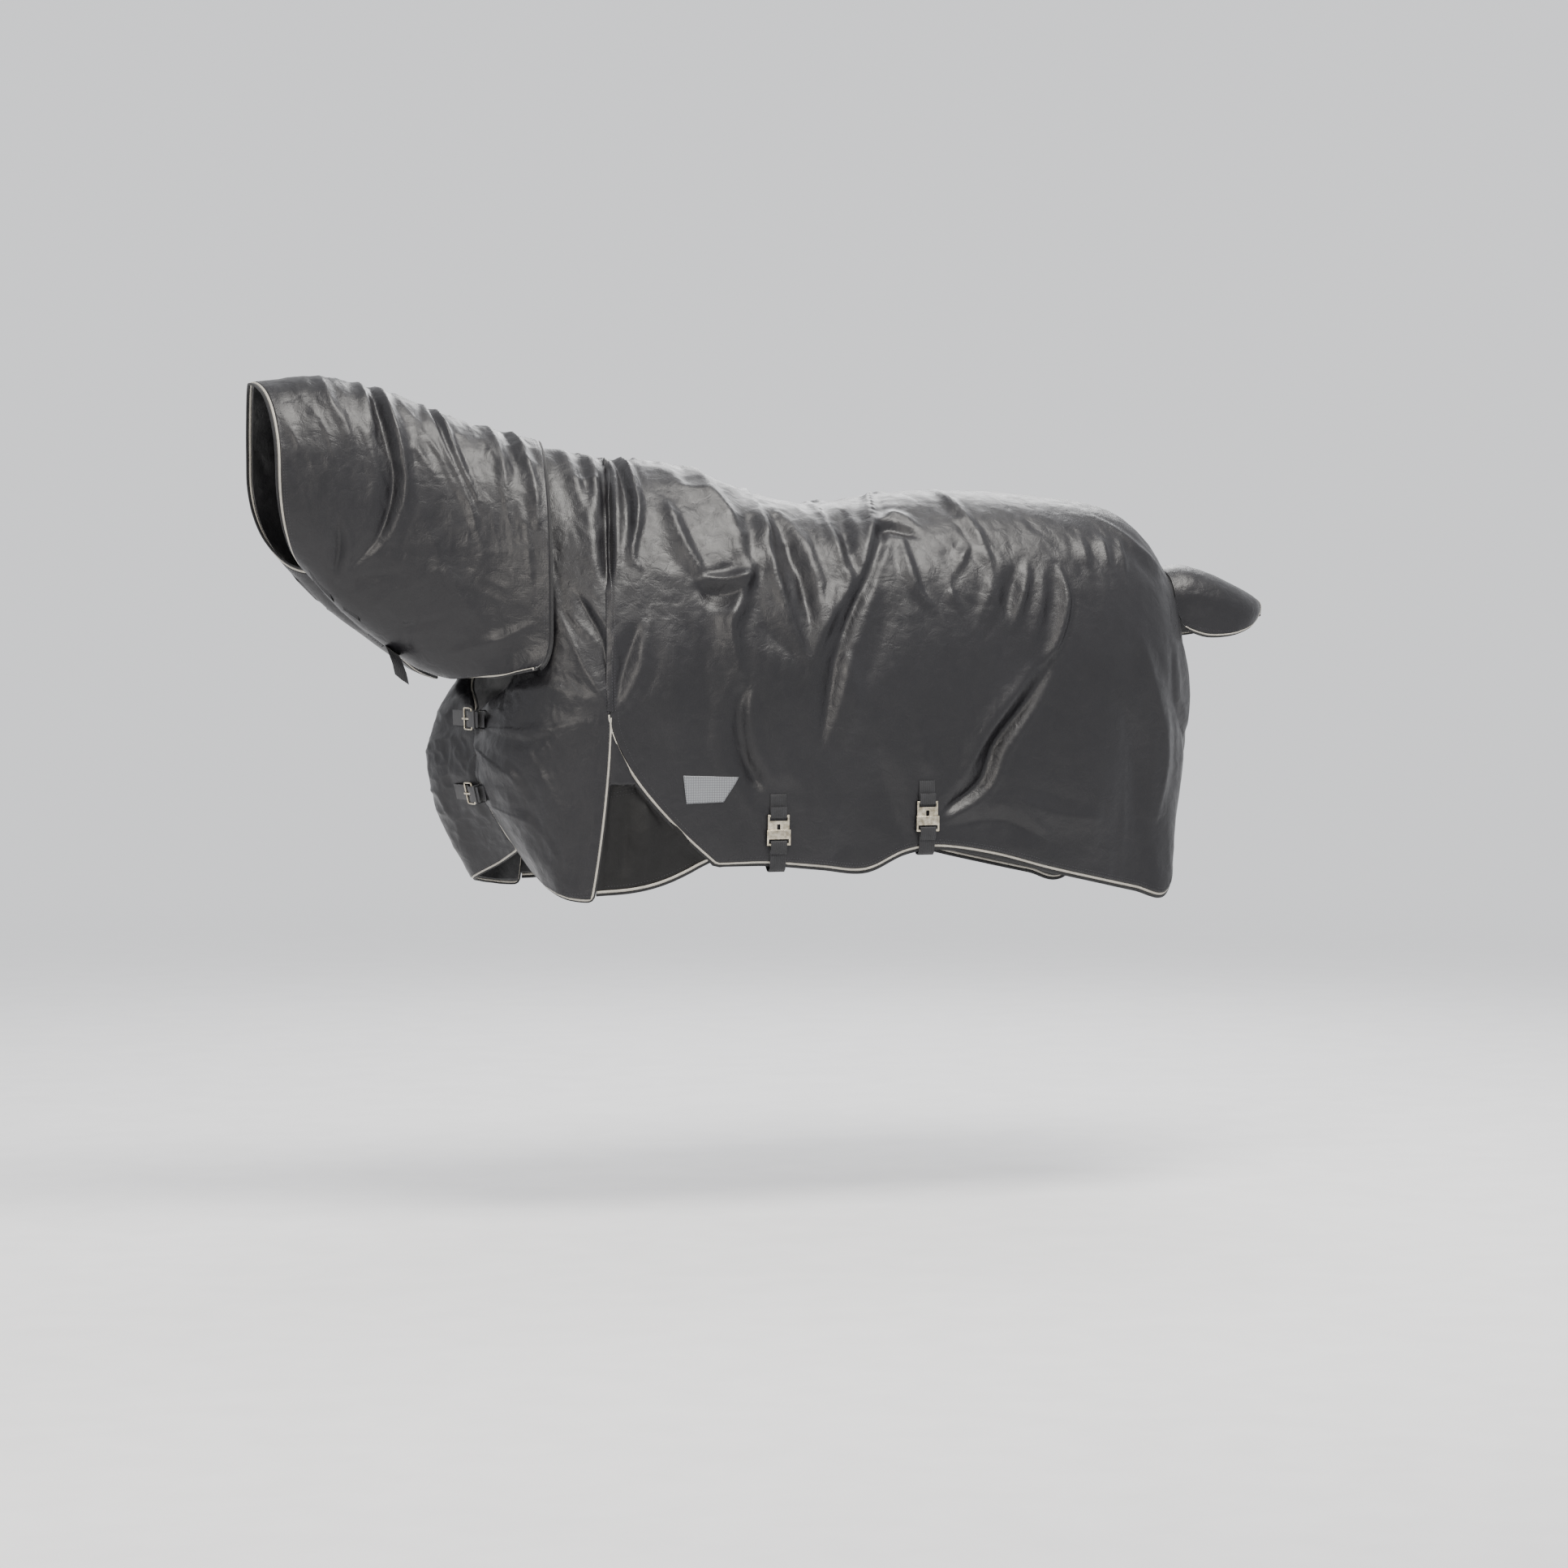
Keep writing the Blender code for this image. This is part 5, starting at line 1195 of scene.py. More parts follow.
@dataclass
class Run:
    """A line along an edge or seam, with the way out of the cloth's edge and the way off its face."""

    points: Array
    outs: Array
    normals: Array

    def __add__(self, other: "Run") -> "Run":
        """This line followed by another."""
        return Run(
            np.vstack([self.points, other.points]),
            np.vstack([self.outs, other.outs]),
            np.vstack([self.normals, other.normals]),
        )

    def even(self, step: float, rounds: int = 2) -> "Run":
        """The line with even steps and eased corners.

        Args:
            step: Metres between points.
            rounds: How much it is eased.

        Returns:
            The new line.
        """
        apart = np.linalg.norm(np.diff(self.points, axis=0), axis=1)
        keep = np.concatenate([[True], apart > 1e-6])
        table = np.hstack([self.points, self.outs, self.normals])[keep]
        run = np.concatenate([[0.0], np.cumsum(np.linalg.norm(np.diff(table[:, :3], axis=0), axis=1))])
        count = max(3, int(run[-1] / step) + 1)
        places = np.linspace(0, run[-1], count)
        laid = np.stack([np.interp(places, run, table[:, k]) for k in range(9)], axis=1)
        laid = softened(laid, rounds)
        return Run(laid[:, :3], unit(laid[:, 3:6]), unit(laid[:, 6:9]))

    def moved(self, out: float, lift: float) -> "Run":
        """The line moved out of the edge and off the face."""
        return Run(self.points + self.outs * out + self.normals * lift, self.outs, self.normals)


def sweep(shell: Shell, run: Run, profile: Array, finish: int = 0) -> None:
    """Draws a closed profile along a line, with flat ends.

    Args:
        shell: What it is added to.
        run: The line.
        profile: (p, 2) of out and up, in metres.
        finish: Its finish.
    """
    tangents = unit(np.gradient(run.points, axis=0))
    outs = unit(run.outs - tangents * np.sum(run.outs * tangents, axis=1, keepdims=True))
    ups = np.cross(tangents, outs)
    ups *= np.sign(np.sum(ups * run.normals))
    count, sides = len(run.points), len(profile)
    rings = (
        run.points[:, None]
        + outs[:, None] * profile[None, :, 0, None]
        + ups[:, None] * profile[None, :, 1, None]
    )
    length = np.concatenate([[0.0], np.cumsum(np.linalg.norm(np.diff(run.points, axis=0), axis=1))])
    girth = np.concatenate([[0.0], np.cumsum(np.linalg.norm(np.diff(profile, axis=0), axis=1))])
    spread = np.stack(np.broadcast_arrays(length[:, None], girth[None]), axis=2).reshape(-1, 2)
    index = np.arange(count * sides).reshape(count, sides)
    ahead = np.roll(index, -1, axis=1)
    quads = np.stack([index[:-1], index[1:], ahead[1:], ahead[:-1]], axis=-1).reshape(-1, 4)
    caps = []
    for ring, turn in ((index[0], 1), (index[-1], -1)):
        order = ring[::turn]
        caps += [(order[0], order[k], order[k + 1], order[k + 1]) for k in range(1, sides - 1)]
    faces = np.vstack([quads, np.array(caps)])
    middle = rings[0].mean(axis=0)
    side = np.cross(rings[1, 0] - rings[0, 0], rings[0, 1] - rings[0, 0])
    if np.dot(side, rings[0, 0] - middle) < 0:
        faces = faces[:, [1, 0, 3, 2]]
        faces[-len(caps) :] = np.array(caps)[:, [1, 0, 2, 2]]
    shell.add(rings.reshape(-1, 3), faces, spread, finish)


def oval(width: float, height: float, sides: int = 10, square: float = 1.0) -> Array:
    """An oval profile.

    Args:
        width: Across, in metres.
        height: Up and down.
        sides: How many corners.
        square: Above 1 flattens it towards a rounded bar.

    Returns:
        (sides, 2).
    """
    turn = np.arange(sides) * 2 * np.pi / sides + np.pi / sides
    corner = np.stack([np.cos(turn), np.sin(turn)], axis=1)
    return np.sign(corner) * np.abs(corner) ** (1 / square) * (width, height) / 2


def stitch(
    shell: Shell, run: Run, length: float = 4.2 * MM, gap: float = 1.8 * MM, thick: float = 0.9 * MM
) -> None:
    """Lays a row of stitches along a line.

    Args:
        shell: What they are added to.
        run: The line, on the cloth's face.
        length: One stitch.
        gap: Between two.
        thick: The thread.
    """
    laid = run.even(length + gap, 0)
    ahead = unit(np.gradient(laid.points, axis=0))
    aside = unit(np.cross(ahead, laid.normals))
    count = len(laid.points)
    middle = laid.points + laid.normals * thick * 0.25
    sunk = laid.normals * thick * 0.4
    ends = [middle - ahead * length / 2 - sunk, middle + ahead * length / 2 - sunk]
    ring = [
        middle + aside * thick / 2,
        middle + laid.normals * thick / 2,
        middle - aside * thick / 2,
        middle - laid.normals * thick / 2,
    ]
    points = np.stack([ends[0], *ring, ends[1]], axis=1).reshape(-1, 3)
    turns = [(1 + k, 1 + (k + 1) % 4) for k in range(4)]
    one = [(0, after, here, here) for here, after in turns]
    one += [(5, here, after, after) for here, after in turns]
    faces = (np.array(one)[None] + 6 * np.arange(count)[:, None, None]).reshape(-1, 4)
    shell.add(points, faces)


def spread_blur(values: Array, rounds: int) -> Array:
    """Values on a grid, smoothed.

    Args:
        values: Columns by rows.
        rounds: How much.

    Returns:
        The smoothed values.
    """
    for _ in range(rounds):
        wide = np.pad(values, 1, mode="edge")
        values = (wide[:-2, 1:-1] + wide[2:, 1:-1] + wide[1:-1, :-2] + wide[1:-1, 2:] + 2 * values) / 6
    return values


# ---------------------------------------------------------------------------------------------------
# Cloth pieces


@dataclass(frozen=True)
class Cut:
    """The flat size of a piece of cloth, in metres, and its area."""

    width: float
    length: float
    area: float


@dataclass
class Cloth:
    """One padded or plain cloth piece: its grid, and its faces once it is draped."""

    name: str
    grid: Grid
    thickness: float
    cut: Cut
    body: Body
    stands_for: tuple[str, ...]
    rests_on: tuple[str, ...]
    upper: Array = field(default_factory=lambda: np.zeros(0))
    lower: Array = field(default_factory=lambda: np.zeros(0))
    trims: list[bpy.types.Object] = field(default_factory=list)

    def drape(
        self,
        folds: Sequence[Fold],
        rumples: Sequence[Rumple],
        hem_z: Callable[[Array], Array],
        calm: Callable[[Array], Array],
        sides: Sequence[tuple[Side, Shift]] = ((Side.NEAR, Shift()), (Side.OFF, OFF_SIDE)),
        swell: float = 1.0,
        ground: "Lookup | None" = None,
    ) -> None:
        """Gives the cloth its creases.

        Args:
            folds: Creases that are given one by one.
            rumples: Patches of small creases.
            hem_z: Height above the hem of each point.
            calm: Share of the lift that each point takes.
            sides: Which sides the folds are on, and how each is moved.
            swell: Scales the slow swell.
            ground: Where the folds are looked up, if they also cross its neighbours.
        """
        shape = self.grid.points.shape
        points = self.grid.points.reshape(-1, 3)
        normals = self.grid.normals.reshape(-1, 3)
        tree = ground or Lookup(points)
        lifts = billow(points, hem_z(points)) * swell
        for side, shift in sides:
            for fold in folds:
                near, lift = fold.lay(points, normals, tree, side, shift)
                np.add.at(lifts, near, lift)
        for rumple in rumples:
            lifts += rumple.lift(points)
        lifts = (lifts * calm(points)).reshape(shape[:2])
        soft = spread_blur(lifts, 6)
        inside = np.minimum(soft * 0.8, lifts + self.thickness * 0.6)
        self.upper = self.grid.points + self.grid.normals * (self.thickness + lifts)[..., None]
        self.lower = self.grid.points + self.grid.normals * inside[..., None]

    def build(self) -> bpy.types.Object:
        """The piece as an object: coated outside, lined inside."""
        shell = closed_sheet(self.upper, self.lower, self.grid.normals, self.grid.spread)
        made = shell.make(self.name, (OXFORD, TAFFETA))
        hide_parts(*self.stands_for)
        return made

    def edge(self, columns: Any, rows: Any, inner_columns: Any, inner_rows: Any) -> Run:
        """A line along part of its edge, halfway through the cloth.

        Args:
            columns: Index of the edge's columns.
            rows: Index of its rows.
            inner_columns: Index of the columns beside it.
            inner_rows: Index of the rows beside it.

        Returns:
            The line.
        """
        middle = (self.upper + self.lower) / 2
        edge, inner = middle[columns, rows], middle[inner_columns, inner_rows]
        return Run(edge, unit(edge - inner), unit(self.upper[columns, rows] - self.lower[columns, rows]))

    def face(self, columns: Any, rows: Any) -> Run:
        """A line on its outer face.

        Args:
            columns: Index of its columns.
            rows: Index of its rows.

        Returns:
            The line, its normals off the face.
        """
        normals = self.grid.normals[columns, rows]
        return Run(self.upper[columns, rows], normals, normals)


@dataclass(frozen=True)
class Trim:
    """Piping with a braid binding outside it."""

    piping: float = 6.0 * MM
    braid: float = 7.0 * MM
    braid_thick: float = 4.6 * MM

    def sew(
        self, name: str, run: Run, stands_for: Sequence[str], place: Callable[[bpy.types.Object], None]
    ) -> list[bpy.types.Object]:
        """Makes both along an edge.

        Args:
            name: Start of their names.
            run: The edge.
            stands_for: CAD nodes that they replace.
            place: Makes a piece move with its body.

        Returns:
            The two objects.
        """
        laid = run.even(4 * MM)
        cord_shell, braid_shell = Shell(), Shell()
        beside = laid.moved(self.piping * 0.42, self.piping * 0.15)
        sweep(cord_shell, beside, oval(self.piping, self.piping, 10))
        out = self.piping * 0.86 + self.braid / 2
        sweep(braid_shell, laid.moved(out, 0.0), oval(self.braid, self.braid_thick, 12, 1.7))
        cord = cord_shell.make(f"{name}_piping", (SATIN,))
        braid = braid_shell.make(f"{name}_braid", (BRAID,))
        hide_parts(*stands_for)
        for piece in (cord, braid):
            place(piece)
        return [cord, braid]


def on_body(body: Body) -> Callable[[bpy.types.Object], None]:
    """How a piece is put on one body.

    Args:
        body: The body.

    Returns:
        A function that makes a piece ride on it.
    """

    def place(piece: bpy.types.Object) -> None:
        """Makes the piece ride."""
        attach(piece, body.value)

    return place


def bind_edge(
    name: str, run: Run, profile: Array, node: str, place: Callable[[bpy.types.Object], None]
) -> bpy.types.Object:
    """Folds a braid over an edge, in place of a CAD binding.

    Args:
        name: Its name.
        run: Its middle line.
        profile: Its section.
        node: The CAD node that it replaces.
        place: Makes it move with its body.

    Returns:
        The object.
    """
    shell = Shell()
    sweep(shell, run, profile)
    binding = shell.make(name, (BRAID,))
    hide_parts(node)
    place(binding)
    return binding


def sew_rows(
    name: str, runs: Sequence[Run], place: Callable[[bpy.types.Object], None]
) -> bpy.types.Object:
    """Stitches along lines, as one piece.

    Args:
        name: Its name.
        runs: The lines, on the cloth's face.
        place: Makes it move with its body.

    Returns:
        The object.
    """
    shell = Shell()
    for run in runs:
        stitch(shell, run)
    made = shell.make(name, (THREAD,))
    place(made)
    return made


def calm_round(nodes: Sequence[str], reach: float) -> Callable[[Array], Array]:
    """A share that falls to 0 where CAD nodes lie on the cloth.

    Args:
        nodes: The nodes.
        reach: How far from their boxes it is back at 1, in metres.

    Returns:
        A function from points to shares.
    """
    boxes = [tuple(np.array(corner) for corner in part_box(node)) for node in nodes]

    def share(points: Array) -> Array:
        """The share at each point."""
        kept = np.ones(len(points))
        for low, high in boxes:
            gap = np.maximum(np.maximum(low - points, points - high), 0.0)
            kept = np.minimum(kept, smooth_step(np.linalg.norm(gap, axis=1), 0.0, reach))
        return kept

    return share


@dataclass
class BodyPanel:
    """The rug's main panel, from the seam behind the shoulder to the rear edge, hem to hem."""

    columns: int = 250
    half: int = 190
    cut: Cut = Cut(2.09, 1.51, 2.55)
    still_reach: float = 0.045
    seam_width: float = 15 * MM
    seam_thick: float = 3.6 * MM
    cloth: Cloth | None = None

    def grid(self) -> Grid:
        """Its grid, before it is creased."""
        ribs = Ribs(BODY_RIBS, BODY_SCALE)
        return both_sides(ribs, np.linspace(0, ribs.last, self.columns), self.half)

    def build(self, ground: Lookup) -> Cloth:
        """Makes the panel, its hem and its rear binding.

        Args:
            ground: Where the trunk's folds are looked up.

        Returns:
            The panel.
        """
        grid = self.grid()
        cloth = Cloth(
            "body_panel",
            grid,
            CLOTH,
            self.cut,
            Body.RUG,
            ("body_outer", "body_wadding", "body_lining"),
            ("surcingle_strap_front",),
        )
        fittings = ("hook_plate", "surcingle_tab", "strap_anchor")
        nodes = [f"{fitting}_{end}" for fitting in fittings for end in ("front", "rear")]
        still = calm_round(nodes, self.still_reach)
        hem = np.minimum(grid.points[:, 0, 2], grid.points[:, -1, 2])

        def above_hem(points: Array) -> Array:
            """Height of each point above its column's hem."""
            return (grid.points[..., 2] - hem[:, None]).reshape(-1)

        cloth.drape(TRUNK_FOLDS, TRUNK_RUMPLES, above_hem, still, ground=ground)
        made = cloth.build()
        on_body(Body.RUG)(made)
        self.cloth = cloth
        self.trim(cloth)
        return cloth

    def apex(self) -> int:
        """How many rows down from the top the gussets start."""
        column = self.cloth.grid.points[0, self.half - 1 :, 2]
        return int(np.argmin(np.abs(column - GUSSET_TOP)))

    def trim(self, cloth: Cloth) -> None:
        """Sews the hems, gusset edges and rear edge.

        Args:
            cloth: The draped panel.
        """
        place = on_body(Body.RUG)
        down = self.apex()
        last = 2 * self.half - 2
        for side in Side:
            rows = np.array([self.half - 1 + int(side) * k for k in range(down, self.half)])
            end, inner = (0, 1) if side is Side.NEAR else (last, last - 1)
            step = int(side)
            gusset_edge = cloth.edge(0, rows[:-1], 1, rows[:-1])
            hem = cloth.edge(slice(1, -1), end, slice(1, -1), inner)
            stands_for = (f"body_piping_{side.word}",)
            trims = Trim().sew(f"hem_{side.word}", gusset_edge + hem, stands_for, place)
            stitches = [
                cloth.face(3, rows[:-4]),
                cloth.face(slice(2, -3), end - step),
                cloth.face(slice(2, -3), end - 2 * step),
            ]
            seam_rows = np.array([self.half - 1 + step * k for k in range(2, down)])
            stitches += [cloth.face(1, seam_rows), cloth.face(2, seam_rows)]
            thread = sew_rows(f"body_stitches_{side.word}", stitches, place)
            cloth.trims += [*trims, thread]
        self.lap_seam(cloth, down)
        rear = cloth.edge(-1, slice(2, -2), -2, slice(2, -2)).even(4 * MM).moved(3 * MM, 0.0)
        section = oval(9 * MM, 9.5 * MM, 12, 1.6)
        cloth.trims.append(bind_edge("rear_edge_braid", rear, section, "rear_binding", place))
        runs = [cloth.face(column, slice(4, -4)) for column in (-3, -4)]
        cloth.trims.append(sew_rows("rear_stitches", runs, place))

    def lap_seam(self, cloth: Cloth, down: int) -> None:
        """Laps a felled seam over the join with the front panels, from gusset to gusset over the top.

        Args:
            cloth: The draped panel.
            down: Rows from the top to the gussets.
        """
        rows = slice(self.half - down, self.half + down - 1)
        points, normals = cloth.upper[0, rows], cloth.grid.normals[0, rows]
        across = unit(cloth.upper[2, rows] - points)
        run = Run(points, across, normals).even(4 * MM, 4)
        shell = Shell()
        sweep(shell, run.moved(0.0, -0.6 * MM), oval(self.seam_width, self.seam_thick, 14, 1.8))
        seam = shell.make("shoulder_seam", (OXFORD,))
        on_body(Body.RUG)(seam)
        row = run.moved(0.0, self.seam_thick * 0.3)
        rows_of = [row.moved(share * self.seam_width, 0.0) for share in (-0.3, 0.3)]
        cloth.trims += [seam, sew_rows("shoulder_seam_stitches", rows_of, on_body(Body.RUG))]


@dataclass
class FrontPanel:
    """One of the two panels over the shoulder and chest."""

    side: Side
    neck: BVHTree
    columns: int = 150
    rows: int = 190
    cut: Cut = Cut(0.60, 1.03, 0.275)
    hem_z: float = -0.80
    probe: float = 0.06  # how far off its face the neck cover is looked for
    ease: float = 0.02  # the room in which its folds come back to full height
    cloth: Cloth | None = None

    def grid(self) -> Grid:
        """Its grid, before it is creased."""
        ribs = Ribs(FRONT_RIBS, BODY_SCALE)
        lines = []
        for place in np.linspace(0, ribs.last, self.columns):
            line = evenly(ribs.line(place, self.side), self.rows)
            line[:, 1] = int(self.side) * np.maximum(np.abs(line[:, 1]), SEAM_GAP / 2)
            lines.append(line)
        grid = Grid.over(lines)
        crest = np.abs(grid.points[:, 0, 1]) < 1 * MM
        grid.normals[crest, 0, 1] = 0.0
        grid.normals = unit(grid.normals)
        return grid

    def build(self, ground: Lookup) -> Cloth:
        """Makes the panel and its edges.

        Args:
            ground: Where the trunk's folds are looked up.

        Returns:
            The panel.
        """
        grid = self.grid()
        word = self.side.word
        names = tuple(f"front_{word}_{ply}" for ply in ("outer", "wadding", "lining"))
        cloth = Cloth(f"front_panel_{word}", grid, CLOTH, self.cut, Body.RUG, names, ("chape_upper",))
        nodes = [f"{part}_{place}" for part in ("chape", "billet") for place in ("upper", "lower")]
        still = calm_round([*nodes, "neck_tab_left", "neck_tab_right"], 0.03)
        room = self.room(grid)

        def calm(points: Array) -> Array:
            """Less lift at the fastenings and where the neck cover lies over it."""
            return still(points) * room

        def above_hem(points: Array) -> Array:
            """Height above the hem."""
            return points[:, 2] - self.hem_z

        cloth.drape(TRUNK_FOLDS, TRUNK_RUMPLES, above_hem, calm, ground=ground)
        made = cloth.build()
        on_body(Body.RUG)(made)
        self.cloth = cloth
        self.trim(cloth)
        return cloth

    def room(self, grid: Grid) -> Array:
        """The share of its lift that each point has room for under the neck cover.

        Args:
            grid: The panel's grid.

        Returns:
            Shares, one for each point.
        """
        shares = np.ones(grid.points.shape[:2])
        for i, j in np.ndindex(*shares.shape):
            start = grid.points[i, j] + grid.normals[i, j] * CLOTH
            hit = self.neck.ray_cast(Vector(start), Vector(grid.normals[i, j]), self.probe)
            if hit[0] is not None:
                shares[i, j] = max(0.0, min(1.0, (hit[3] - 2 * MM) / self.ease))
        return spread_blur(shares, 3).reshape(-1)

    def trim(self, cloth: Cloth) -> None:
        """Sews piping round the neck opening, the centre, the hem and the gusset's edge.

        Args:
            cloth: The draped panel.
        """
        place = on_body(Body.RUG)
        opening = int(np.argmax(np.abs(cloth.grid.points[:, 0, 1]) < 3 * MM)) - 3
        while abs(cloth.grid.points[opening, 0, 1]) < 25 * MM:
            opening -= 1
        apex = int(np.argmin(np.abs(cloth.grid.points[-1, :, 2] - GUSSET_TOP)))
        neck = cloth.edge(slice(opening, 0, -1), 0, slice(opening, 0, -1), 1)
        centre = cloth.edge(0, slice(1, -1), 1, slice(1, -1))
        hem = cloth.edge(slice(1, -1), -1, slice(1, -1), -2)
        rear = cloth.edge(-1, slice(-2, apex, -1), -2, slice(-2, apex, -1))
        edge = neck + centre + hem + rear
        trim = Trim(5.4 * MM, 3.2 * MM, 4.2 * MM)
        word = self.side.word
        cloth.trims += trim.sew(f"front_{word}", edge, (f"front_piping_{word}",), place)
        rows = [
            cloth.face(2, slice(3, -3)),
            cloth.face(slice(3, -3), -2),
            cloth.face(slice(3, -3), -3),
            cloth.face(-2, slice(2, -4)),
            cloth.face(-4, slice(2, apex)),
            cloth.face(slice(3, opening), 2),
        ]
        cloth.trims.append(sew_rows(f"front_stitches_{word}", rows, place))


@dataclass
class Gusset:
    """The pleated gusset between a front panel and the body, behind the elbow."""

    side: Side
    front: FrontPanel
    panel: BodyPanel
    columns: int = 44
    rows: int = 96
    pleat_z: float = -0.640
    bulge: float = 0.014
    sag: float = 0.018
    cut: Cut = Cut(0.24, 0.40, 0.042)

    def build(self) -> None:
        """Makes the gusset, its pleat and its hem."""
        body, front = self.panel.cloth, self.front.cloth
        down = self.panel.apex()
        rows = [self.panel.half - 1 + int(self.side) * k for k in range(down - 1, self.panel.half - 3)]
        aft = body.edge(0, rows, 1, rows).moved(3.5 * MM, -1.5 * MM).points
        apex = int(np.argmin(np.abs(front.grid.points[-1, :, 2] - GUSSET_TOP)))
        keep = slice(apex - 1, -3)
        fore = front.edge(-1, keep, -2, keep).moved(3.5 * MM, -1.5 * MM).points
        fore, aft = evenly(fore, self.rows), evenly(aft, self.rows)
        drop = np.linspace(0, 1, self.rows)[:, None]
        out = np.array([0.0, float(self.side), 0.0])
        lines = []
        for share in np.linspace(0, 1, self.columns):
            swell = math.sin(math.pi * share)
            line = fore * (1 - share) + aft * share
            sag = np.array([0, 0, 1]) * self.sag * swell * drop**3
            line = line + out * self.bulge * swell * drop - sag
            lines.append(line)
        grid = Grid.over(lines)
        word = self.side.word
        names = (f"gusset_{word}",)
        cloth = Cloth(f"gusset_panel_{word}", grid, 2.5 * MM, self.cut, Body.RUG, names, (body.name,))
        z = grid.points[..., 2].reshape(-1)
        across = grid.spread[..., 0] / grid.spread[..., 0].max()
        taper = smooth_step(np.sin(np.pi * across), 0.0, 0.35).reshape(-1)

        folds = (
            Fold(((-0.13, -0.66), (-0.12, -0.74), (-0.12, -0.82)), 5, 14),
            Fold(((-0.17, -0.67), (-0.17, -0.75), (-0.18, -0.83)), -5, 14),
            Fold(((-0.08, -0.70), (-0.05, -0.76), (-0.03, -0.80)), 4, 12),
            Fold(((-0.19, -0.55), (-0.17, -0.60), (-0.165, -0.63)), 3, 8),
        )
        cloth.drape(folds, (), everywhere(0.3), everywhere(1.0), ((self.side, Shift()),), 0.4)
        # The upper panel laps over the lower one, which starts deeper in.
        step = smooth_step(z, self.pleat_z - 1.5 * MM, self.pleat_z + 1.5 * MM) * 12 * MM - 10 * MM
        lift = (step * taper).reshape(grid.points.shape[:2])[..., None] * grid.normals
        cloth.upper, cloth.lower = cloth.upper + lift, cloth.lower + lift
        made = cloth.build()
        # The faces below the pleat take a near-black, matt cloth: painted shade under the upper panel that
        # laps over them.
        made.data.materials.append(PLEAT_SHADE_CLOTH.material())
        for face in made.data.polygons:
            if face.material_index == 0 and face.center.z < self.pleat_z:
                face.material_index = 2
        place = on_body(Body.RUG)
        place(made)
        hem = cloth.edge(slice(1, -1), -1, slice(1, -1), -2)
        cloth.trims += Trim(5.6 * MM, 6.0 * MM, 4.2 * MM).sew(
            f"gusset_{word}", hem, (f"gusset_piping_{word}",), place
        )
        pleat_row = int(np.argmin(np.abs(grid.points[self.columns // 2, :, 2] - self.pleat_z))) + 3
        rows_of = [
            cloth.face(slice(4, -4), -3),
            cloth.face(slice(5, -5), pleat_row),
            cloth.face(slice(5, -5), pleat_row + 2),
        ]
        cloth.trims.append(sew_rows(f"gusset_stitches_{word}", rows_of, place))


@dataclass
class NeckCover:
    """The neck cover, which laps over the front panels and stays on the withers as the neck lifts."""

    columns: int = 190
    half: int = 120
    cut: Cut = Cut(1.36, 0.64, 0.69)
    hem_z: float = -0.42
    lap: tuple[float, float] = (-0.33, -0.28)  # where its rear edge starts to lie on the front panels
    blend_from: tuple[float, float, float] = (-0.47, 0.0, 0.0)
    blend_to: tuple[float, float, float] = (-0.30, 0.0, 0.0)

    def grid(self) -> Grid:
        """Its grid, before it is creased."""
        ribs = Ribs(NECK_RIBS, NECK_SCALE, Tuck.THROAT)
        return both_sides(ribs, np.linspace(0, ribs.last, self.columns), self.half)

    def place(self, piece: bpy.types.Object) -> None:
        """Bakes a piece's placing into its mesh."""
        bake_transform(piece)

    def build(self) -> Cloth:
        """Makes the cover and its edges."""
        cloth = Cloth(
            "neck_panel",
            self.grid(),
            CLOTH,
            self.cut,
            Body.NECK,
            ("neck_outer", "neck_wadding", "neck_lining"),
            ("neck_tab_left",),
        )
        still = calm_round([f"throat_strap_{k}" for k in (1, 2, 3)], 0.025)

        def calm(points: Array) -> Array:
            """Less lift under the throat straps and beside the rear edge."""
            return still(points) * (1 - 0.45 * smooth_step(points[:, 0], *self.lap))

        def above_hem(points: Array) -> Array:
            """Height above the lower edge."""
            return points[:, 2] - self.hem_z

        cloth.drape(NECK_FOLDS, NECK_RUMPLES, above_hem, calm)
        made = cloth.build()
        self.place(made)
        rows = slice(2, -2)
        front = cloth.edge(0, rows, 1, rows)
        trim = Trim(6.0 * MM, 6.0 * MM, 4.4 * MM)
        cloth.trims += trim.sew("neck_edge", front, ("neck_front_piping",), self.place)
        for side, end, inner in ((Side.NEAR, 0, 1), (Side.OFF, -1, -2)):
            low = cloth.edge(slice(1, -1), end, slice(1, -1), inner)
            trim = Trim(5.4 * MM, 3.0 * MM, 4.0 * MM)
            cloth.trims += trim.sew(
                f"neck_lower_{side.word}", low, (f"neck_lower_piping_{side.word}",), self.place
            )
        rear = cloth.edge(-1, rows, -2, rows).even(4 * MM).moved(2.5 * MM, -0.5 * MM)
        section = oval(8 * MM, 8.5 * MM, 12, 1.6)
        cloth.trims.append(bind_edge("neck_rear_braid", rear, section, "neck_rear_binding", self.place))
        runs = [cloth.face(column, slice(4, -4)) for column in (2, 4, -3, -5)]
        runs += [cloth.face(slice(3, -3), row) for row in (2, -3)]
        cloth.trims.append(sew_rows("neck_stitches", runs, self.place))
        return cloth


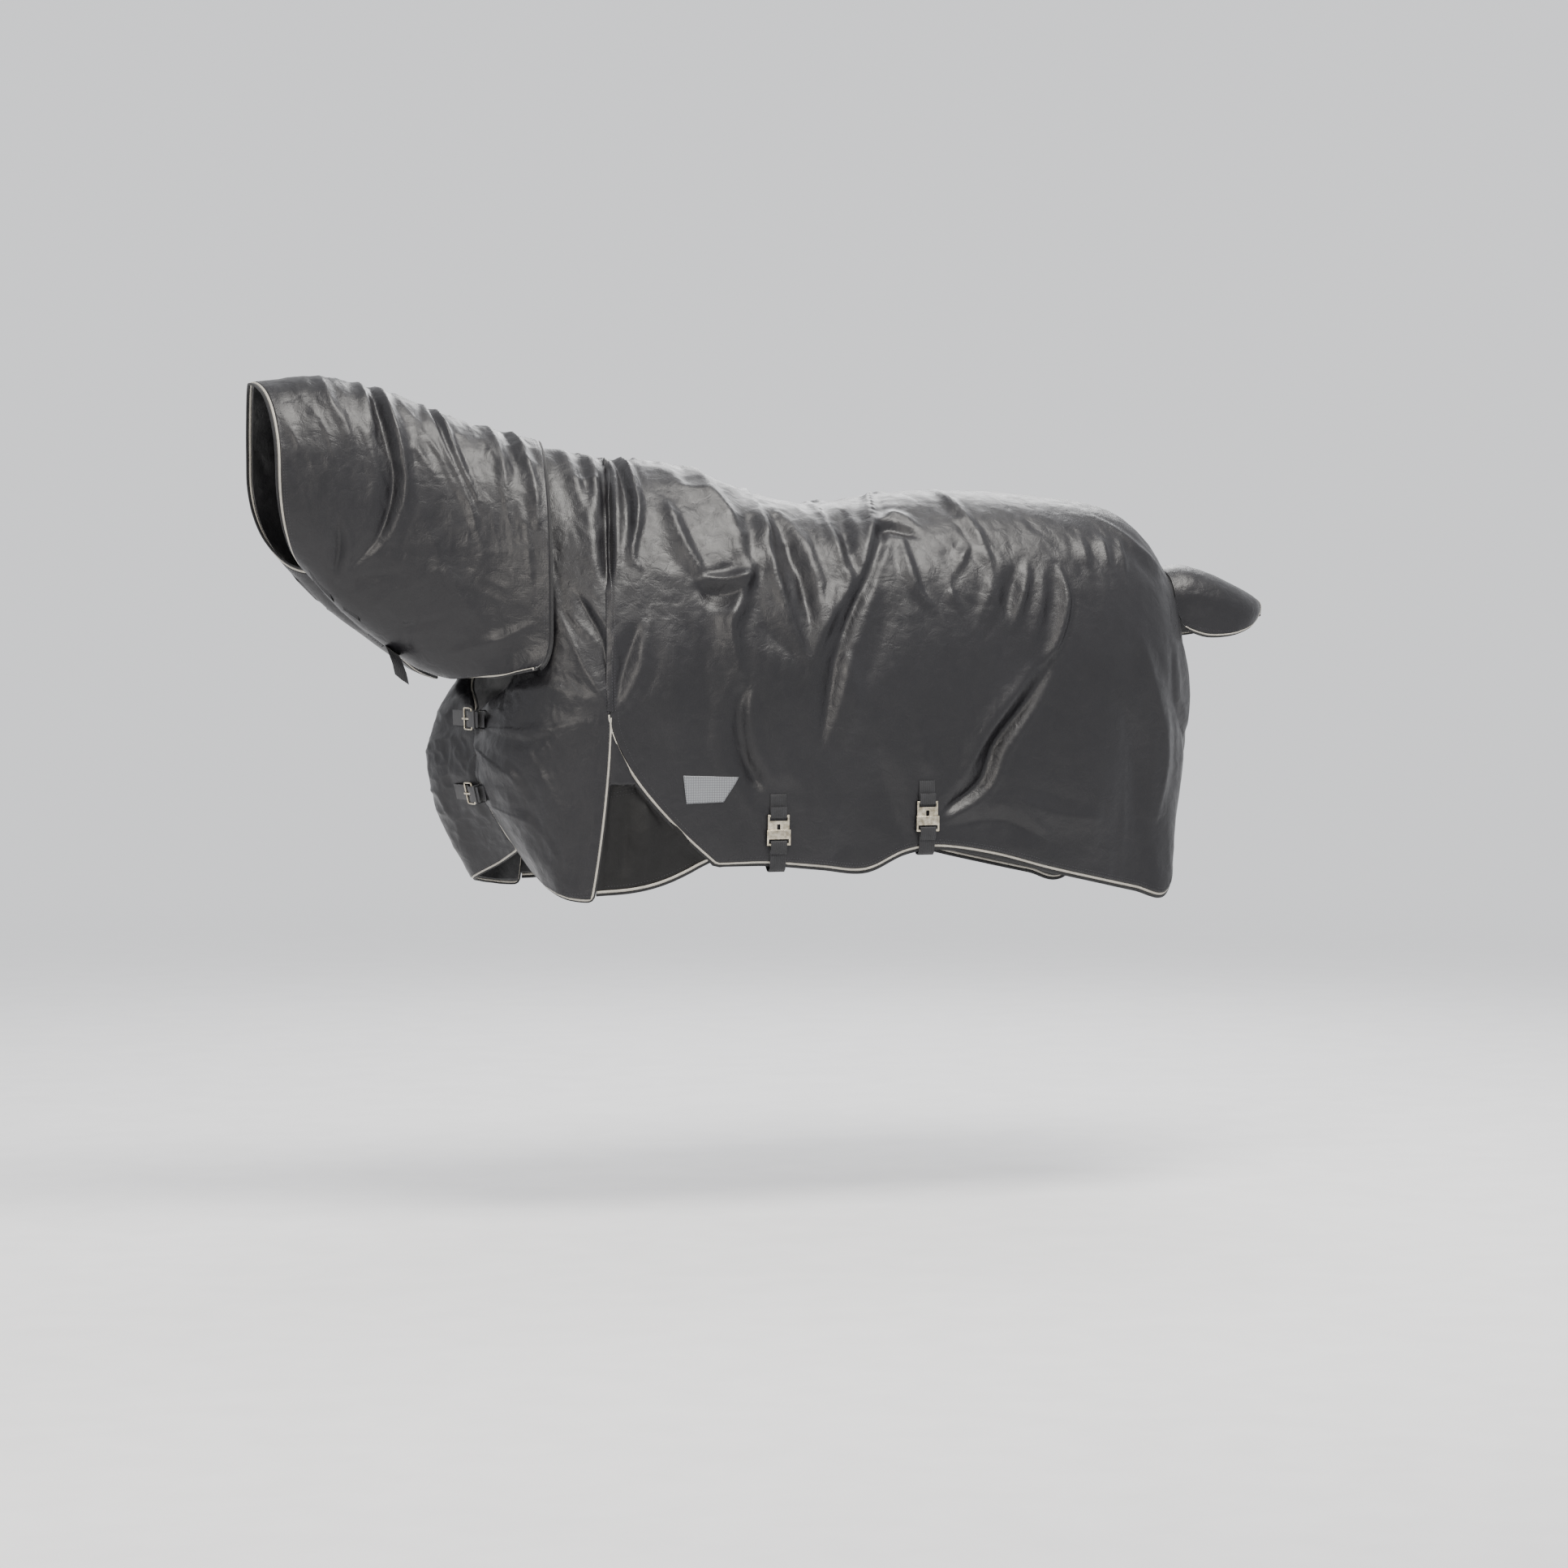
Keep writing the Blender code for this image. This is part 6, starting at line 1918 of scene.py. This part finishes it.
@dataclass
class TailFlap:
    """The flap arched over the tail, hinged at its sewn root."""

    columns: int = 84
    half: int = 48
    cut: Cut = Cut(0.42, 0.27, 0.084)

    def build(self, origin: Array) -> Cloth:
        """Makes the flap and its edge.

        Args:
            origin: The middle of its root.

        Returns:
            The flap.
        """
        ribs = Ribs(FLAP_RIBS, FLAP_SCALE, origin=tuple(origin))
        grid = both_sides(ribs, np.linspace(0, ribs.last, self.columns), self.half)
        names = ("tail_flap_outer", "tail_flap_lining")
        cloth = Cloth("tail_flap_panel", grid, THIN_CLOTH, self.cut, Body.FLAP, names, ("body_panel",))
        root, height = float(origin[0]), float(origin[2])
        rumples = (Rumple(root + 0.08, height - 0.03, 0.12, 0.10, 1.6, 34, (1, -0.3), 2.0, 83),)

        def calm(points: Array) -> Array:
            """Flat where it is sewn on."""
            return smooth_step(points[:, 0], root, root + 0.03)

        cloth.drape((), rumples, everywhere(0.2), calm, swell=0.5)
        made = cloth.build()
        place = on_body(Body.FLAP)
        place(made)
        near = cloth.edge(slice(2, -2), 0, slice(2, -2), 1)
        end = cloth.edge(-1, slice(2, -2), -2, slice(2, -2))
        off = cloth.edge(slice(-3, 1, -1), -1, slice(-3, 1, -1), -2)
        trim = Trim(3.8 * MM, 4.5 * MM, 3.4 * MM)
        cloth.trims += trim.sew("tail_flap_edge", near + end + off, ("tail_flap_piping",), place)
        runs = [cloth.face(slice(4, -4), row) for row in (2, -3)]
        runs += [cloth.face(-3, slice(5, -5)), cloth.face(2, slice(5, -5))]
        cloth.trims.append(sew_rows("tail_flap_stitches", runs, place))
        return cloth


@dataclass(frozen=True)
class Patch:
    """A plain reflective patch sewn on the near side."""

    corners: tuple = ((-0.055, -0.621), (0.064, -0.626), (0.032, -0.678), (-0.047, -0.680))
    steps: tuple[int, int] = (40, 18)
    stand: float = 0.5 * MM
    thick: float = 0.9 * MM

    def build(self, panel: Cloth) -> None:
        """Lays the patch on the draped cloth.

        Args:
            panel: The body panel.
        """
        tree = grid_tree(panel.upper)
        top_left, top_right, foot_right, foot_left = (np.array(c) for c in self.corners)
        upper = np.zeros((*self.steps, 3))
        normals = np.zeros_like(upper)
        spread = np.zeros((*self.steps, 2))
        for i, u in enumerate(np.linspace(0, 1, self.steps[0])):
            for j, v in enumerate(np.linspace(0, 1, self.steps[1])):
                top = top_left * (1 - u) + top_right * u
                foot = foot_left * (1 - u) + foot_right * u
                x, z = top * (1 - v) + foot * v
                hit = tree.ray_cast(Vector((x, -1, z)), Vector((0, 1, 0)))
                normal = np.array(hit[1])
                normals[i, j] = normal if normal[1] < 0 else -normal
                upper[i, j] = hit[0]
                spread[i, j] = x, z
        for k in range(3):
            upper[..., k] = spread_blur(upper[..., k], 2)
            normals[..., k] = spread_blur(normals[..., k], 4)
        normals = unit(normals)
        lower = upper + normals * self.stand
        upper = lower + normals * self.thick
        made = closed_sheet(upper, lower, normals, spread, 0).make("reflective_film", (FILM, TAFFETA))
        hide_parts("reflective_patch")
        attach(made, Body.RUG.value)
        runs = [Run(upper[1:-1, k], normals[1:-1, k], normals[1:-1, k]) for k in (1, -2)]
        runs += [Run(upper[k, 1:-1], normals[k, 1:-1], normals[k, 1:-1]) for k in (1, -2)]
        sew_rows("patch_stitches", runs, on_body(Body.RUG))


@dataclass(frozen=True)
class Fitting:
    """A CAD node that keeps its shape and takes a finish, with its edges eased."""

    node: str
    finish: Finish
    ease: float = 0.5 * MM
    rounds: int = 0

    def dress(self) -> None:
        """Gives the node its finish and eases its edges."""
        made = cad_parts[self.node]
        made.data.materials.clear()
        made.data.materials.append(self.finish.material())
        weld = made.modifiers.new("weld", "WELD")
        weld.merge_threshold = 0.01 * MM
        bevel = made.modifiers.new("ease", "BEVEL")
        bevel.width = self.ease
        bevel.segments = 2
        bevel.limit_method = "ANGLE"
        bevel.angle_limit = math.radians(35)
        bevel.harden_normals = False
        if self.rounds:
            more = made.modifiers.new("round", "SUBSURF")
            more.levels = self.rounds
            more.render_levels = self.rounds
        made.data.polygons.foreach_set("use_smooth", np.ones(len(made.data.polygons), bool))


@dataclass(frozen=True)
class Fastenings:
    """Buckles, hooks, straps and tabs."""

    places: tuple[str, str] = ("upper", "lower")
    ends: tuple[str, str] = ("front", "rear")

    def build(self) -> None:
        """Dresses every strap and metal fitting."""
        for place in self.places:
            for part in ("chape", "billet", "keeper"):
                Fitting(f"{part}_{place}", WEBBING, 0.6 * MM).dress()
            Fitting(f"buckle_{place}", NICKEL, 0.7 * MM, 1).dress()
            Fitting(f"prong_{place}", NICKEL, 0.7 * MM, 1).dress()
        for end in self.ends:
            for part in ("surcingle_strap", "surcingle_tab", "strap_anchor"):
                Fitting(f"{part}_{end}", WEBBING, 0.6 * MM).dress()
            for part in ("hook_plate", "t_hook", "strap_slide"):
                Fitting(f"{part}_{end}", NICKEL, 0.6 * MM).dress()
        for number in (1, 2, 3):
            Fitting(f"throat_strap_{number}", WEBBING, 0.6 * MM).dress()
        for side in Side:
            Fitting(f"neck_tab_{side.word}", WEBBING, 0.4 * MM).dress()


# ---------------------------------------------------------------------------------------------------
# Studio

SKY_TINT = "#f7f8fb"
SKY_POWER = 1.15


@dataclass(frozen=True)
class FloorPaint(Finish):
    """Matt white paint that fades into the studio's light far from the object, so no horizon shows."""

    near: float = 3.0
    far: float = 9.0

    def shade(self, tree: bpy.types.NodeTree, shader: Any) -> None:
        """Mixes the paint with the studio's light by the distance from the middle.

        Args:
            tree: The material's tree.
            shader: Its Principled shader.
        """
        super().shade(tree, shader)
        place = add_node(tree, "ShaderNodeTexCoord").outputs["Object"]
        flat = add_node(tree, "ShaderNodeVectorMath", {0: place, 1: (1, 1, 0)}, operation="MULTIPLY")
        away = add_node(tree, "ShaderNodeVectorMath", {0: flat.outputs[0]}, operation="LENGTH")
        share = add_node(
            tree,
            "ShaderNodeMapRange",
            {"Value": away.outputs["Value"], "From Min": self.near, "From Max": self.far},
            interpolation_type="SMOOTHSTEP",
        )
        glow = add_node(tree, "ShaderNodeEmission", {"Color": linear(SKY_TINT), "Strength": SKY_POWER})
        blend = {0: share.outputs[0], 1: shader.outputs[0], 2: glow.outputs[0]}
        mix = add_node(tree, "ShaderNodeMixShader", blend)
        tree.links.new(mix.outputs[0], tree.nodes["Material Output"].inputs["Surface"])


FLOOR_PAINT = FloorPaint("matt_floor_paint", "#e9e9ea", "#eeeeef", 0.9)


@dataclass(frozen=True)
class Light:
    """A soft area light."""

    name: str
    size: tuple[float, float]
    power: float
    place: tuple[float, float, float]
    aim: tuple[float, float, float]
    tint: str = "#ffffff"


@dataclass(frozen=True)
class Studio:
    """Camera, floor and soft light."""

    azimuth: float = -20.0
    elevation: float = 3.0
    distance: float = 9.0
    frame_width: float = 3.246
    right: float = 0.2537
    up: float = -0.6535
    floor_z: float = -1.52
    floor_half: float = 40.0
    lights: tuple[Light, ...] = (
        Light("sky", (2.4, 1.8), 235, (0.7, -1.5, 3.0), (0.25, 0.0, -0.2), "#fbf8f2"),
        Light("key", (1.6, 1.6), 110, (-3.0, -4.0, 1.6), (0.1, 0.0, -0.4), "#fff8ee"),
        Light("rim", (2.0, 2.5), 120, (2.0, 3.0, 2.2), (0.4, 0.0, -0.3)),
    )

    def build(self) -> None:
        """Makes the camera, the floor, the world and the lights."""
        turn, rise = math.radians(self.azimuth), math.radians(self.elevation)
        right = Vector((math.cos(turn), math.sin(turn), 0))
        flat = math.cos(rise)
        back = Vector((math.sin(turn) * flat, -math.cos(turn) * flat, math.sin(rise)))
        up = back.cross(right)
        data = bpy.data.cameras.new("camera")
        camera = bpy.data.objects.new("camera", data)
        bpy.context.scene.collection.objects.link(camera)
        camera.location = right * self.right + up * self.up + back * self.distance
        camera.rotation_mode = "QUATERNION"
        camera.rotation_quaternion = back.to_track_quat("Z", "Y")
        data.sensor_width = 36.0
        data.lens = 18.0 / (self.frame_width / 2 / self.distance)
        data.clip_end = 200.0
        bpy.context.scene.camera = camera
        self.lay_floor()
        world = bpy.data.worlds.new("studio")
        world.use_nodes = True
        sky = world.node_tree.nodes["Background"]
        sky.inputs["Color"].default_value = linear(SKY_TINT)
        sky.inputs["Strength"].default_value = SKY_POWER
        bpy.context.scene.world = world
        for light in self.lights:
            lamp = bpy.data.lights.new(light.name, "AREA")
            lamp.shape = "RECTANGLE"
            lamp.size, lamp.size_y = light.size
            lamp.energy = light.power
            lamp.color = linear(light.tint)[:3]
            made = bpy.data.objects.new(light.name, lamp)
            made.location = light.place
            toward = Vector(light.aim) - Vector(light.place)
            made.rotation_mode = "QUATERNION"
            made.rotation_quaternion = toward.to_track_quat("-Z", "Y")
            bpy.context.scene.collection.objects.link(made)

    def lay_floor(self) -> None:
        """A wide pale floor."""
        half = self.floor_half
        corners = [(-half, -half), (half, -half), (half, half), (-half, half)]
        data = bpy.data.meshes.new("floor")
        data.from_pydata([(x, y, self.floor_z) for x, y in corners], [], [(0, 1, 2, 3)])
        data.materials.append(FLOOR_PAINT.material())
        floor = bpy.data.objects.new("floor", data)
        bpy.context.scene.collection.objects.link(floor)


def main() -> None:
    """Builds every piece in order and reports it."""
    logging.basicConfig(level=logging.INFO, format="%(message)s")
    Studio().build()
    LOG.info("studio")
    panel, neck = BodyPanel(), NeckCover()
    neck_tree = grid_tree(neck.grid().points)
    fronts = [FrontPanel(side, neck_tree) for side in Side]
    ground = Lookup(np.vstack([made.grid().points.reshape(-1, 3) for made in (panel, *fronts)]))
    panel.build(ground)
    LOG.info("body panel")
    neck.build()
    LOG.info("neck cover")
    for side, front in zip(Side, fronts):
        front.build(ground)
        Gusset(side, front, panel).build()
        LOG.info("front panel and gusset %s", side.word)
    top = BODY_RIBS[-1]
    root = np.array([top[0], 0.0, top[2]]) * BODY_SCALE + np.array([FLAP_GAP, 0, CLOTH / 2])
    TailFlap().build(root)
    LOG.info("tail flap")
    Patch().build(panel.cloth)
    Fastenings().build()
    LOG.info("patch and fastenings")


if __name__ == "__main__":
    main()
